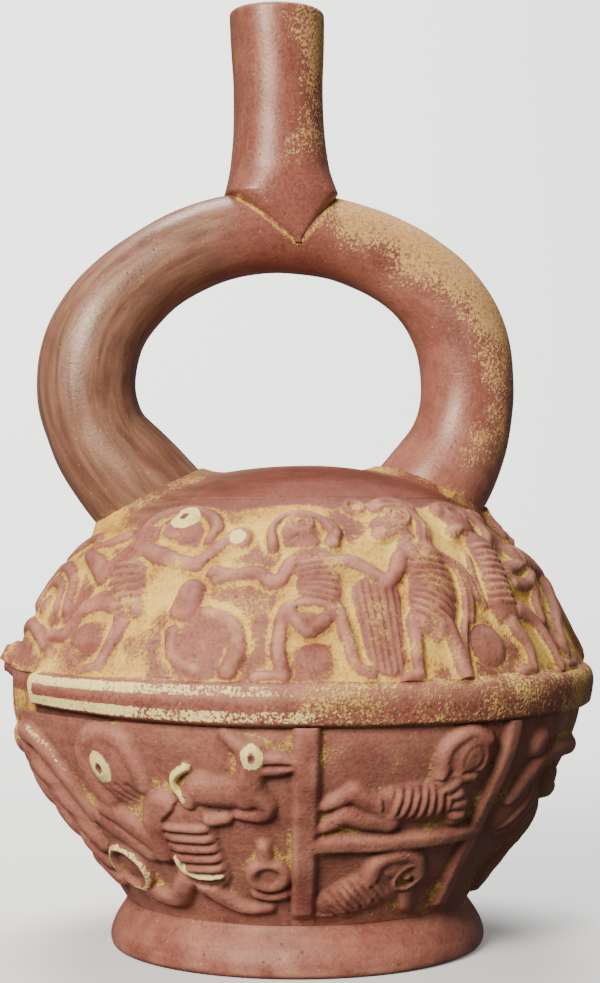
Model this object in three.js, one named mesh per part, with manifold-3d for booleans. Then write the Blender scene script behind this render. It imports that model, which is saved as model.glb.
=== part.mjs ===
// Stirrup spout vessel: a press-moulded pottery bottle with figures in low relief round its
// chamber, a ring foot, and a looped stirrup of two hollow arms that meet in one spout.
// Millimetres, +Z up. The origin is the centre of the foot's underside, the stirrup lies in the
// XZ plane, and the front faces -Y. It is one fired piece, hollow from the spout to the floor.
import * as THREE from "three";
import { mergeVertices } from "three/addons/utils/BufferGeometryUtils.js";
import Module from "manifold-3d";

const wasm = await Module();
wasm.setup();

// ---- Driving dimensions -------------------------------------------------------------------

const HEIGHT = 280;

const CHAMBER_WALL = 5.5;
const STIRRUP_WALL = 4.4;
const SPOUT_WALL = 3.6;

// Ring foot: radius and height of each turn of its section.
const FOOT_FLARE = [55.8, 2.6];
const FOOT_TREAD = [47.2, 53.4]; // inner and outer radius of the flat that it stands on
const NECK = [50.7, 13.8]; // where the bowl meets the foot
const RECESS_DEPTH = 9.5;
const RECESS_TOP_RADIUS = 43.5;

// Carinated chamber: a bowl below, a shoulder above, and a raised belt where they meet.
const BELT_BOTTOM = [84.5, 72];
const BELT_TOP = [85.5, 83];
const BELT_PROUD = 3.6;
const CROWN_HEIGHT = 142;
const BELT_GAP = [-109, -71]; // azimuths between which the belt gives way to a large head

// The loop's centre line in the XZ plane, from inside the left of the shoulder over the crown to
// the right. It was bent by hand, so it leans to the left and its two arms differ.
const STIRRUP_CROWN = 213;
const STIRRUP_LINE = [
  [-38, 125.5],
  [-51, 139],
  [-60.2, 151.5],
  [-63.4, 167],
  [-58.8, 184],
  [-45.6, 198.6],
  [-26.6, 209.2],
  [-4.8, STIRRUP_CROWN],
  [17.8, 209.8],
  [37.8, 199.8],
  [49.9, 184.5],
  [53.3, 167],
  [50.8, 151.5],
  [44.5, 139],
  [33.5, 125.5],
];
const STIRRUP_RADIUS = { crown: 12, arm: 13, side: 14.5, foot: 16.6 };

const SPOUT = { rim: 14.1, waist: 13.4, base: 16.8, waistAt: 256, baseAt: 224, tipAt: 207 };
const LEAN = 0.0218; // sideways drift of the spout per millimetre of height

// Resolution of the faceted surfaces.
const CHAMBER_COLUMNS = 88;
const CAVITY_COLUMNS = 30;
const RECESS_COLUMNS = 40;
const TUBE_SIDES = 20;
const TUBE_STEPS = 36;
const BORE_SIDES = 10;
const BORE_STEPS = 26;
const SPOUT_SIDES = 24;

// ---- Shared geometry helpers ----------------------------------------------------------------

const radians = THREE.MathUtils.degToRad;
const smooth = (x) => THREE.MathUtils.smoothstep(x, 0, 1);
const mix = THREE.MathUtils.lerp;

// A point on the surface of revolution: azimuth 0 is the front, and it grows towards +X.
const turned = (radius, azimuth, z) =>
  new THREE.Vector3(radius * Math.sin(azimuth), -radius * Math.cos(azimuth), z);

// A closed solid from a stack of rings of equal length, shut by one point at each end.
function solidOfRings(first, rings, last) {
  const sides = rings[0].length;
  const points = [first, ...rings.flat(), last];
  const faces = [];
  for (let i = 0; i < sides; i++) {
    const j = (i + 1) % sides;
    faces.push(0, 1 + j, 1 + i);
    for (let r = 0; r < rings.length - 1; r++) {
      const low = 1 + r * sides;
      const high = low + sides;
      faces.push(low + i, low + j, high + j, low + i, high + j, high + i);
    }
    const top = 1 + (rings.length - 1) * sides;
    faces.push(top + i, top + j, points.length - 1);
  }
  return new THREE.BufferGeometry().setFromPoints(points).setIndex(faces);
}

function solid(geometry) {
  const bare = geometry.clone();
  bare.deleteAttribute("normal");
  bare.deleteAttribute("uv");
  const merged = mergeVertices(bare, 1e-4);
  return new wasm.Manifold(
    new wasm.Mesh({
      numProp: 3,
      vertProperties: new Float32Array(merged.attributes.position.array),
      triVerts: new Uint32Array(merged.index.array),
    }),
  );
}

const lathed = (outline, columns) =>
  solid(new THREE.LatheGeometry(outline, columns).rotateX(Math.PI / 2));

function geometryOf(manifold) {
  const mesh = manifold.getMesh();
  return new THREE.BufferGeometry()
    .setAttribute("position", new THREE.BufferAttribute(mesh.vertProperties, 3))
    .setIndex(new THREE.BufferAttribute(mesh.triVerts, 1));
}

// ---- Chamber profile --------------------------------------------------------------------------

const flat = ([x, y]) => new THREE.Vector2(x, y);

// The bowl runs down from the belt to the neck, the shoulder up from the belt to the crown.
const bowl = new THREE.CubicBezierCurve(
  flat(BELT_BOTTOM),
  new THREE.Vector2(84, 56),
  new THREE.Vector2(58, 26),
  flat(NECK),
);
const shoulder = new THREE.CubicBezierCurve(
  flat(BELT_TOP),
  new THREE.Vector2(71.5, 105.8),
  new THREE.Vector2(63.5, CROWN_HEIGHT),
  new THREE.Vector2(0, CROWN_HEIGHT),
);

// Evenly spaced stations along a profile curve, each with its outward normal and its run in
// millimetres from the belt. The outward side lies to the right of the shoulder's run and to
// the left of the bowl's.
function stations(curve, from, to, count, side) {
  const length = curve.getLength();
  return Array.from({ length: count }, (_, i) => {
    const share = mix(from, to, count > 1 ? i / (count - 1) : 0);
    const tangent = curve.getTangentAt(share);
    return {
      point: curve.getPointAt(share),
      normal: new THREE.Vector2(tangent.y, -tangent.x).multiplyScalar(side),
      run: share * length,
    };
  });
}

// ---- Relief -----------------------------------------------------------------------------------
// Strokes of clay on the ground of a zone: each is a straight roll between two points, given as
// azimuth in degrees and run from the belt in millimetres, with its half width and its height.

const stroke = (from, to, half, proud) => ({ from, to, half, proud });

// Height of one stroke at a place, where radius turns azimuth into millimetres.
function strokeHeight({ from, to, half, proud }, azimuth, run, radius) {
  const scale = radians(1) * radius;
  const along = new THREE.Vector2((to[0] - from[0]) * scale, to[1] - from[1]);
  const here = new THREE.Vector2(wrapped(azimuth - from[0]) * scale, run - from[1]);
  const share = THREE.MathUtils.clamp(here.dot(along) / Math.max(along.lengthSq(), 1e-9), 0, 1);
  const distance = here.distanceTo(along.multiplyScalar(share));
  return proud * smooth(1.35 - distance / half);
}

const wrapped = (degrees) => THREE.MathUtils.euclideanModulo(degrees + 180, 360) - 180;

// A standing figure: round head, broad torso, two legs and two raised arms.
function standingFigure({ at, tall = 47, foot = 4, lean = 0, reach = 11, lift = 0 }) {
  const place = (across, up) => [at + across + lean * up, foot + tall * up];
  return [
    stroke(place(0, 0.92), place(0, 0.96), 6.5, 2.9),
    stroke(place(0, 0.45), place(0, 0.72), 5.5, 2.6),
    stroke(place(-3.6, 0.04), place(-2, 0.4), 3.2, 2.1),
    stroke(place(3.6, 0.04), place(2, 0.4), 3.2, 2.1),
    stroke(place(-3, 0.68), place(-reach, 0.62 + lift), 3, 2),
    stroke(place(3, 0.68), place(reach, 0.6 - lift), 3, 2),
  ];
}

// A figure that lies along its panel: head at one end, banded trunk, drawn-up legs at the other.
function recliningFigure({ at, run, facing = 1, long = 24 }) {
  const place = (ahead, down) => [at + facing * long * ahead, run + down];
  return [
    stroke(place(0.5, -9), place(0.5, -6), 6, 3.2),
    stroke(place(0.3, 1), place(-0.1, 4), 5.6, 3),
    stroke(place(-0.2, 2), place(-0.75, 0), 3, 2.3),
    stroke(place(-0.2, 6), place(-0.75, 8), 3, 2.3),
  ];
}

const shoulderFigures = [
  { at: -42, lean: 4, tall: 50, reach: 15, lift: 0.2 },
  { at: -7, lean: -2, reach: 14 },
  { at: 17, lean: 2, tall: 50, reach: 9 },
  { at: 42, lean: -4, tall: 50, reach: 7 },
  { at: 60, lean: -6, tall: 46, reach: 8 },
  { at: 82, lean: -3, tall: 48, reach: 9 },
  { at: 114, lean: 4, reach: 12, lift: 0.15 },
  { at: 140, lean: 0, reach: 12 },
  { at: 168, lean: -2, reach: 12, lift: 0.15 },
  { at: 196, lean: 3, reach: 10 },
  { at: 224, lean: -3, reach: 12 },
];

const shoulderRelief = [
  ...shoulderFigures.flatMap(standingFigure),
  stroke([-30, 6], [-28, 16], 8, 1.8), // seated bundle between the first two figures
  stroke([-33, 26], [-33, 28], 4, 2.4),
];

const PANEL_RIBS = [-8, 35, 80, 125, 170, 215];
const CROSS_RIB_RUN = 37;
const bowlRelief = [
  ...PANEL_RIBS.map((at) => stroke([at, 0], [at + 1.5, 70], 3.4, 3.2)),
  stroke([-6, CROSS_RIB_RUN], [35, CROSS_RIB_RUN], 2.8, 2.8),
  stroke([80, CROSS_RIB_RUN], [125, CROSS_RIB_RUN], 2.8, 2.8),
  stroke([170, CROSS_RIB_RUN], [215, CROSS_RIB_RUN], 2.8, 2.8),
  ...[13, 101, 191].flatMap((at) => [
    ...recliningFigure({ at, run: 20 }),
    ...recliningFigure({ at: at - 4, run: 56, long: 28 }),
  ]),
  ...[58, 148].flatMap((at) => recliningFigure({ at, run: 30, facing: -1, long: 30 })),
  // The large striding figure of the left panel, the animal before it and the jar below.
  stroke([-49, 9], [-48, 16], 7, 3.4),
  stroke([-40, 24], [-33, 42], 7, 3.4),
  stroke([-56, 28], [-45, 34], 4.5, 3),
  stroke([-73, 9], [-58, 33], 4, 3),
  stroke([-57, 48], [-57, 48.5], 8, 3),
  stroke([-46, 56], [-38, 52], 4, 3),
  stroke([-28, 19], [-18, 20], 5, 3.4),
  stroke([-19, 14], [-17, 8], 4, 3.4),
  stroke([-16, 46], [-16, 52], 6.5, 3.2),
];

// The large head at the side, where the belt stops.
const SIDE_HEAD = { at: -90, half: 13, proud: 4.4 };

const relief = (strokes, azimuth, run, radius) =>
  Math.max(0, ...strokes.map((one) => strokeHeight(one, azimuth, run, radius)));

// ---- Solids -----------------------------------------------------------------------------------

// How proud the belt stands at an azimuth: full all round, nothing in the gap.
function beltShare(azimuth) {
  const middle = (BELT_GAP[0] + BELT_GAP[1]) / 2;
  const half = (BELT_GAP[1] - BELT_GAP[0]) / 2;
  return smooth((Math.abs(wrapped(azimuth - middle)) - half) / 4);
}

// One ring of the chamber's outside at a profile station, pushed out along its normal.
function chamberRing({ point, normal, run }, proudAt) {
  return Array.from({ length: CHAMBER_COLUMNS }, (_, i) => {
    const azimuth = (360 * i) / CHAMBER_COLUMNS;
    const proud = proudAt(azimuth, run, point.x);
    return turned(point.x + normal.x * proud, radians(azimuth), point.y + normal.y * proud);
  });
}

const plainRing = ([radius, z]) =>
  chamberRing({ point: flat([radius, z]), normal: flat([0, 0]), run: 0 }, () => 0);

function chamberOutside() {
  const bowlProud = (azimuth, run, radius) =>
    smooth(run / 3) * relief(bowlRelief, azimuth, run, radius) * smooth((68 - run) / 5);
  const shoulderProud = (azimuth, run, radius) =>
    relief(shoulderRelief, azimuth, run, radius) * smooth((62 - run) / 4);
  const headProud = (azimuth, z) => {
    const across = radians(wrapped(azimuth - SIDE_HEAD.at)) * BELT_TOP[0];
    const away = Math.hypot(across, z - BELT_TOP[1] - 2) / SIDE_HEAD.half;
    return SIDE_HEAD.proud * Math.sqrt(Math.max(0, 1 - away * away));
  };
  const withHead = (proudAt, z) => (azimuth, run, radius) =>
    Math.max(proudAt(azimuth, run, radius), headProud(azimuth, z));
  const ringsOf = (curve, from, to, count, side, proudAt) =>
    stations(curve, from, to, count, side).map((station) =>
      chamberRing(station, withHead(proudAt, station.point.y)),
    );
  const beltRing = (share, z) => {
    const radius = mix(BELT_BOTTOM[0], BELT_TOP[0], (z - BELT_BOTTOM[1]) / 11);
    const station = { point: flat([radius, z]), normal: flat([1, 0]), run: 0 };
    return chamberRing(
      station,
      withHead((azimuth) => beltShare(azimuth) * BELT_PROUD * share, z),
    );
  };
  const rings = [
    plainRing([FOOT_TREAD[1], 0]),
    plainRing(FOOT_FLARE),
    ...ringsOf(bowl, 0, 1, 15, -1, bowlProud).reverse(),
    beltRing(0.8, BELT_BOTTOM[1] + 0.6),
    beltRing(1, mix(BELT_BOTTOM[1], BELT_TOP[1], 0.62)),
    beltRing(0.75, BELT_TOP[1] - 0.8),
    ...ringsOf(shoulder, 0.004, 0.88, 13, 1, shoulderProud),
  ];
  return solid(
    solidOfRings(new THREE.Vector3(), rings, new THREE.Vector3(0, 0, CROWN_HEIGHT)),
  );
}

// The hollow of the chamber: its ground profile moved inwards by the wall.
function chamberHollow() {
  const inner = (curve, from, to, count, side) =>
    stations(curve, from, to, count, side).map(({ point, normal }) =>
      point.clone().addScaledVector(normal, -CHAMBER_WALL),
    );
  const floor = RECESS_DEPTH + CHAMBER_WALL;
  const outline = [
    new THREE.Vector2(0, floor),
    new THREE.Vector2(RECESS_TOP_RADIUS - 8, floor + 0.5),
    ...inner(bowl, 0.04, 0.9, 7, -1).reverse(),
    ...inner(shoulder, 0.02, 0.88, 8, 1),
    new THREE.Vector2(0, CROWN_HEIGHT - CHAMBER_WALL),
  ];
  return lathed(outline, CAVITY_COLUMNS);
}

// The space under the foot, inside its ring.
function footRecess() {
  const outline = [
    new THREE.Vector2(0, -1),
    new THREE.Vector2(FOOT_TREAD[0] + 0.4, -1),
    new THREE.Vector2(RECESS_TOP_RADIUS + 0.5, RECESS_DEPTH - 1.5),
    new THREE.Vector2(RECESS_TOP_RADIUS - 2.5, RECESS_DEPTH),
    new THREE.Vector2(0, RECESS_DEPTH),
  ];
  return lathed(outline, RECESS_COLUMNS);
}

const stirrupLine = new THREE.CatmullRomCurve3(
  STIRRUP_LINE.map(([x, z]) => new THREE.Vector3(x, 0, z)),
  false,
  "centripetal",
);

// Radius of the stirrup at a share of its run: slim at the crown, fuller down the sides.
function stirrupRadius(share) {
  const fromCrown = Math.abs(share - 0.5) * 2;
  const { crown, arm, side, foot } = STIRRUP_RADIUS;
  const upper = mix(crown, arm, smooth(fromCrown / 0.4));
  const lower = mix(side, foot, smooth((fromCrown - 0.7) / 0.2));
  return mix(upper, lower, smooth((fromCrown - 0.3) / 0.3));
}

// A tube in the XZ plane along the stirrup's line between two shares, thinned by a wall.
function stirrupTube(from, to, steps, sides, wall) {
  const rings = Array.from({ length: steps + 1 }, (_, i) => {
    const share = mix(from, to, i / steps);
    const centre = stirrupLine.getPointAt(share);
    const tangent = stirrupLine.getTangentAt(share);
    const inward = new THREE.Vector3(tangent.z, 0, -tangent.x);
    const radius = stirrupRadius(share) - wall;
    return Array.from({ length: sides }, (_, j) => {
      const angle = (2 * Math.PI * j) / sides;
      return centre
        .clone()
        .addScaledVector(inward, radius * Math.cos(angle))
        .add(new THREE.Vector3(0, radius * Math.sin(angle), 0));
    });
  });
  const ends = [from, to].map((share) => stirrupLine.getPointAt(share));
  return solid(solidOfRings(ends[0], rings, ends[1]));
}

const leaning = (x, z) => x - LEAN * z;

// Half width and half depth of the spout at a height. Below its base it narrows to a wedge that
// dies into the front and back of the loop.
function spoutSection(z) {
  const { rim, waist, base, waistAt, baseAt, tipAt } = SPOUT;
  if (z >= waistAt) {
    const half = mix(waist, rim, smooth((z - waistAt) / (HEIGHT - waistAt)));
    return [half, half];
  }
  if (z >= baseAt) {
    const half = mix(waist, base, ((waistAt - z) / (waistAt - baseAt)) ** 2.4);
    return [half, half * mix(1, 0.86, ((waistAt - z) / (waistAt - baseAt)) ** 2)];
  }
  const left = (z - tipAt) / (baseAt - tipAt);
  return [Math.max(base * left, 0.6), mix(STIRRUP_RADIUS.crown + 0.35, base * 0.86, left ** 2)];
}

function spoutOutside() {
  const heights = [208.5, 213, 218.5, 224, 230, 238, 247, 257, 268, 277.6];
  const ring = (halfWidth, halfDepth, z) =>
    Array.from({ length: SPOUT_SIDES }, (_, j) => {
      const angle = (2 * Math.PI * j) / SPOUT_SIDES;
      return new THREE.Vector3(
        leaning(halfWidth * Math.cos(angle), z),
        halfDepth * Math.sin(angle),
        z,
      );
    });
  const lip = SPOUT.rim - 0.9;
  const rings = [
    ...heights.map((z) => ring(...spoutSection(z), z)),
    ring(SPOUT.rim, SPOUT.rim, HEIGHT - 1),
    ring(lip, lip, HEIGHT),
  ];
  return solid(
    solidOfRings(
      new THREE.Vector3(leaning(0, heights[0]), 0, heights[0]),
      rings,
      new THREE.Vector3(leaning(0, HEIGHT), 0, HEIGHT),
    ),
  );
}

// The spout's bore, from inside the loop's crown to past the rim.
function spoutBore() {
  const low = STIRRUP_CROWN;
  const bore = (z) => spoutSection(Math.max(z, SPOUT.baseAt + 8))[0] - SPOUT_WALL;
  const rings = [low, 230, 256, HEIGHT - 1.2, HEIGHT + 1].map((z) => {
    const radius = z < 225 ? STIRRUP_RADIUS.crown - STIRRUP_WALL - 0.2 : bore(Math.min(z, HEIGHT));
    return Array.from({ length: BORE_SIDES }, (_, j) => {
      const angle = (2 * Math.PI * j) / BORE_SIDES;
      return new THREE.Vector3(
        leaning(radius * Math.cos(angle), z),
        radius * Math.sin(angle),
        z,
      );
    });
  });
  return solid(
    solidOfRings(
      new THREE.Vector3(leaning(0, low), 0, low),
      rings,
      new THREE.Vector3(leaning(0, HEIGHT + 1), 0, HEIGHT + 1),
    ),
  );
}

// ---- The vessel ---------------------------------------------------------------------------------

const outside = chamberOutside()
  .add(stirrupTube(0, 1, TUBE_STEPS, TUBE_SIDES, 0))
  .add(spoutOutside());
const inside = chamberHollow()
  .add(stirrupTube(0, 1, BORE_STEPS, BORE_SIDES, STIRRUP_WALL))
  .add(spoutBore());

const terracotta = new THREE.MeshStandardMaterial({
  color: 0x9c5a48,
  roughness: 0.62,
  metalness: 0,
});
const vessel = new THREE.Mesh(
  geometryOf(outside.subtract(inside).subtract(footRecess())),
  terracotta,
);
vessel.name = "vessel";

const model = new THREE.Group();
model.add(vessel);

export default model;
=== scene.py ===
"""Stirrup spout vessel: a burnished pottery bottle worked with figures in low relief.

Lengths are millimetres while a surface is worked out, and metres once it is a mesh. The origin
is the centre of the foot's underside, +Z is up, and the front faces -Y. Azimuths are degrees,
0 at the front and growing towards +X. On the chamber a place is an azimuth and a run: the
distance in millimetres along the wall from the belt, upwards on the shoulder and downwards on
the bowl.
"""
import math

import bpy
import numpy as np
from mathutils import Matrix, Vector


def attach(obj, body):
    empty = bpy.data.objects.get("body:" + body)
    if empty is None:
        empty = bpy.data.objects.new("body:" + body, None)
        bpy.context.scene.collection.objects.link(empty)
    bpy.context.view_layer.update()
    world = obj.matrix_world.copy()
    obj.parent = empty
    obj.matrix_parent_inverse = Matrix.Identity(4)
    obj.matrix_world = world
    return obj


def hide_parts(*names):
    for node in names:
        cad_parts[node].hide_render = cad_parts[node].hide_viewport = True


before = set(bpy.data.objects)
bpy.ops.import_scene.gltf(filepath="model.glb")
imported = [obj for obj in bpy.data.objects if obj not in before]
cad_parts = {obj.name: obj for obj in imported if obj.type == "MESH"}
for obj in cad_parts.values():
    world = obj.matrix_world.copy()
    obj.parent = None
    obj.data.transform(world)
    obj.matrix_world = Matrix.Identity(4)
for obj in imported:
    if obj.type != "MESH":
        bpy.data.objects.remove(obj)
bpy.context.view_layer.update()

MM = 0.001
RADIAN = math.pi / 180

# ---- Sizes, in millimetres ------------------------------------------------------------------

SHOULDER = [(85.5, 83), (71.5, 105.8), (63.5, 142), (0, 142)]
BOWL = [(84.5, 72), (84, 56), (58, 26), (50.7, 13.8)]
CHAMBER_WALL = 5.5
RECESS, FLOOR = 9.5, 15  # heights of the recess's ceiling below and the chamber's floor within

STIRRUP_LINE = [(-38, 125.5), (-51, 139), (-60.2, 151.5), (-63.4, 167), (-58.8, 184),
                (-45.6, 198.6), (-26.6, 209.2), (-4.8, 213), (17.8, 209.8), (37.8, 199.8),
                (49.9, 184.5), (53.3, 167), (50.8, 151.5), (44.5, 139), (33.5, 125.5)]
STIRRUP_RADIUS = {"crown": 12.0, "arm": 13.0, "side": 14.5, "foot": 16.6}
STIRRUP_WALL = 4.4

HEIGHT = 280
SPOUT_LEAN = 0.0218  # sideways drift per millimetre of height
SPOUT = {"rim": 14.1, "waist": 13.4, "base": 16.8, "waist_at": 256, "base_at": 224, "tip_at": 208}
SPOUT_WALL = 3.6
TIP_SHIFT = 3.3  # how far the point of the spout's wedge lies off the spout's line
LIP_ROUND = 1.5  # radius of the mouth's rounded outer edge


# ---- Plain helpers --------------------------------------------------------------------------

def smooth(x):
    """0 below 0, 1 above 1, and an even S between."""
    x = np.clip(x, 0, 1)
    return x * x * (3 - 2 * x)


def bump_at(x, centre, half):
    """1 at the centre, falling in a smooth bell to 0 at half away."""
    return smooth(1 - np.abs(x - centre) / half)


def mix(a, b, share):
    """a where the share is 0, b where it is 1, and evenly between."""
    return a + (b - a) * share


def wrap(degrees):
    """The same angle between -180 and 180."""
    return (degrees + 180) % 360 - 180


def bezier(controls, share):
    """Cubic Bézier curve through the first and last control, by share of its parameter."""
    t = share[:, None]
    a, b, c, d = np.array(controls, float)
    return (1 - t) ** 3 * a + 3 * (1 - t) ** 2 * t * b + 3 * (1 - t) * t ** 2 * c + t ** 3 * d


def spline(points, count):
    """Catmull-Rom curve through the points, at evenly spaced stations, and each one's run."""
    p = np.array(points, float)
    p = np.vstack([2 * p[0] - p[1], p, 2 * p[-1] - p[-2]])
    t = np.linspace(0, len(points) - 1, 40 * len(points))
    i = np.minimum(t.astype(int), len(points) - 2)
    f = (t - i)[:, None]
    a, b, c, d = p[i], p[i + 1], p[i + 2], p[i + 3]
    curve = b + 0.5 * f * (c - a + f * (2 * a - 5 * b + 4 * c - d + f * (3 * (b - c) + d - a)))
    run = run_of(curve)
    want = np.linspace(0, run[-1], count)
    return np.stack([np.interp(want, run, column) for column in curve.T], 1), want


def turned(radius, height, azimuth):
    """Points at a radius and a height round the axis, one column for each azimuth in degrees."""
    turn = azimuth[None] * RADIAN
    return np.stack([radius * np.sin(turn), -radius * np.cos(turn), height + 0 * turn], -1)


def run_of(curve):
    """Distance along a curve to each of its points."""
    return np.r_[0, np.cumsum(np.linalg.norm(np.diff(curve, axis=0), axis=1))]


class Ripple:
    """Smooth random unevenness in space: a sum of sine waves in random directions."""

    def __init__(self, seed, size, waves=14):
        rng = np.random.default_rng(seed)
        way = rng.normal(size=(waves, 3))
        way /= np.linalg.norm(way, axis=1)[:, None]
        self.way = way * (2 * np.pi / (size * rng.uniform(0.7, 1.6, waves)))[:, None]
        self.phase = rng.uniform(0, 2 * np.pi, waves)

    def __call__(self, points):
        """Between about -1 and 1 at each point."""
        total = np.zeros(points.shape[:-1])
        for way, phase in zip(self.way, self.phase):
            total += np.sin(points @ way + phase)
        return total / math.sqrt(len(self.phase)) / 1.2


def blurred(field, times):
    """A grid averaged with its neighbours; columns close on themselves, rows end."""
    for _ in range(times):
        field = (np.roll(field, 1, 1) + 2 * field + np.roll(field, -1, 1)) / 4
        tall = np.vstack([field[:1], field, field[-1:]])
        field = (tall[:-2] + 2 * tall[1:-1] + tall[2:]) / 4
    return field


# ---- Meshes ---------------------------------------------------------------------------------

# Layers over each mesh. The dirt layer holds dirt and also painted shade; dark holds pits, grooves
# and painted shade at the foot of each form; the wear layer holds wear and a painted highlight on
# the right arm.
LAYERS = ("cream", "paint", "dark", "smoke", "sand", "dirt_and_shade", "wear_and_highlight")


def skin(name, rows, layers, poles=None, open_ends=False, flat_rows=()):
    """A closed mesh from a grid of rings.

    rows is an array of rings, columns and coordinates. Columns close on themselves, unless the
    ends are open: then a flat face shuts each. With two poles the first and last rings each
    shut on one; without, the last ring joins the first. The strips that start at flat_rows are
    flat edges between an outer and an inner skin. layers maps a name of LAYERS to a grid of
    values from 0 to 1.
    """
    count, sides = rows.shape[:2]
    points = rows.reshape(-1, 3)
    gaps = sides - 1 if open_ends else sides
    j = np.arange(gaps)
    k = (j + 1) % sides
    spans = count - 1 if poles is not None else count
    low = np.arange(spans)[:, None] * sides
    high = (np.arange(spans)[:, None] + 1) % count * sides
    quads = np.stack([low + j, low + k, high + k, high + j], -1).reshape(-1, 4)
    u = np.broadcast_to(np.stack([j, j + 1, j + 1, j], -1) / sides, (spans, gaps, 4))
    v = (np.arange(spans)[:, None] + np.array([0, 0, 1, 1])) / count
    v = np.broadcast_to(v[:, None], (spans, gaps, 4))
    faces, charts = [quads], [np.stack([u, v], -1).reshape(-1, 2)]
    even = np.ones((spans, gaps), bool)
    even[[row % count for row in flat_rows]] = False
    soft = [even.ravel()]
    if poles is not None:
        points = np.vstack([points, poles])
        first, last = len(points) - 2, len(points) - 1
        top = (count - 1) * sides
        faces.append(np.vstack([np.stack([np.full(gaps, first), k, j], -1),
                                np.stack([top + j, top + k, np.full(gaps, last)], -1)]))
        near, far, middle = j / sides, (j + 1) / sides, (j + 0.5) / sides
        foot, head = np.zeros(gaps), np.full(gaps, (count - 1) / count)
        charts.append(np.vstack([np.stack([middle, foot, far, foot, near, foot], -1),
                                 np.stack([near, head, far, head, middle, head], -1)
                                 ]).reshape(-1, 2))
        soft.append(np.ones(2 * gaps, bool))
    if open_ends:
        rings = np.arange(count) * sides
        faces.append(np.stack([rings[::-1], rings + sides - 1]))
        charts.append(np.stack([np.tile([0.0, 1.0], (count, 1)).T.ravel(),
                                np.tile(np.arange(count) / count, 2)], -1))
        soft.append(np.zeros(2, bool))

    # A closed mesh whose faces look inwards has a negative volume: its corners are turned round.
    a, b, c, d = (points[quads[:, i]] for i in range(4))
    volume = np.einsum("ij,ij->", a, np.cross(b, c)) + np.einsum("ij,ij->", a, np.cross(c, d))
    if volume < 0:
        charts = [chart.reshape(*face.shape, 2)[:, ::-1].reshape(-1, 2)
                  for chart, face in zip(charts, faces)]
        faces = [face[:, ::-1] for face in faces]
    sizes = np.concatenate([np.full(len(face), face.shape[1]) for face in faces])

    mesh = bpy.data.meshes.new(name)
    mesh.vertices.add(len(points))
    mesh.vertices.foreach_set("co", (points * MM).astype(np.float32).ravel())
    mesh.loops.add(int(sizes.sum()))
    mesh.loops.foreach_set("vertex_index", np.concatenate([face.ravel() for face in faces]))
    mesh.polygons.add(len(sizes))
    mesh.polygons.foreach_set("loop_start", np.r_[0, np.cumsum(sizes)[:-1]])
    mesh.polygons.foreach_set("use_smooth", np.concatenate(soft))
    mesh.update(calc_edges=True)
    mesh.uv_layers.new(name="wrap").uv.foreach_set(
        "vector", np.concatenate(charts).astype(np.float32).ravel())
    for layer in LAYERS:
        values = np.zeros(len(points), np.float32)
        values[:count * sides] = np.clip(layers.get(layer, 0) * np.ones((count, sides)),
                                         0, 1).ravel()
        mesh.attributes.new(layer, "FLOAT", "POINT").data.foreach_set("value", values)
    mesh.validate()
    piece = bpy.data.objects.new(name, mesh)
    bpy.context.scene.collection.objects.link(piece)
    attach(piece, "root")
    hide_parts("vessel")
    return piece


def over_outside(layers, shape, inside, pick=slice(None)):
    """The layers spread over the outer skin's grid, picked like it, and bare clay within."""
    return {name: np.vstack([(grid * np.ones(shape))[pick], np.zeros(inside.shape[:2])])
            for name, grid in layers.items()}


# ---- The turned wall of the chamber ---------------------------------------------------------

class Wall:
    """One zone of the chamber's outside as a turned profile, addressed by run from the belt."""

    def __init__(self, controls, upwards):
        curve = bezier(controls, np.linspace(0, 1, 1201))
        self.runs = run_of(curve)
        tangent = np.gradient(curve, axis=0)
        tangent /= np.linalg.norm(tangent, axis=1)[:, None]
        normal = np.stack([tangent[:, 1], -tangent[:, 0]], 1) * (1 if upwards else -1)
        self.curve, self.normal, self.length = curve, normal, self.runs[-1]

    def section(self, run):
        """Radius, height and outward normal (radial, vertical) at each run."""
        return [np.interp(run, self.runs, column)
                for column in (*self.curve.T, *self.normal.T)]

    def points(self, azimuth, run, proud):
        """The wall's points on a grid, moved out along the normal by proud."""
        radius, height, out, up = (column[:, None] for column in self.section(run))
        return turned(radius + out * proud, height + up * proud, azimuth)


# ---- Relief ---------------------------------------------------------------------------------

class Relief:
    """A height field over one zone, built up from strokes of clay by taking the higher one."""

    def __init__(self, wall, azimuth, run, spread):
        self.azimuth, self.run = azimuth, run
        self.spread = spread  # every stroke is this much wider than it was drawn
        self.radius = wall.section(run)[0]
        shape = (len(run), len(azimuth))
        self.height, self.crease, self.paint, self.dark, self.bare = (
            np.zeros(shape) for _ in range(5))

    def pen(self, at, flip=1):
        return Pen(self, at, flip)


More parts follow.
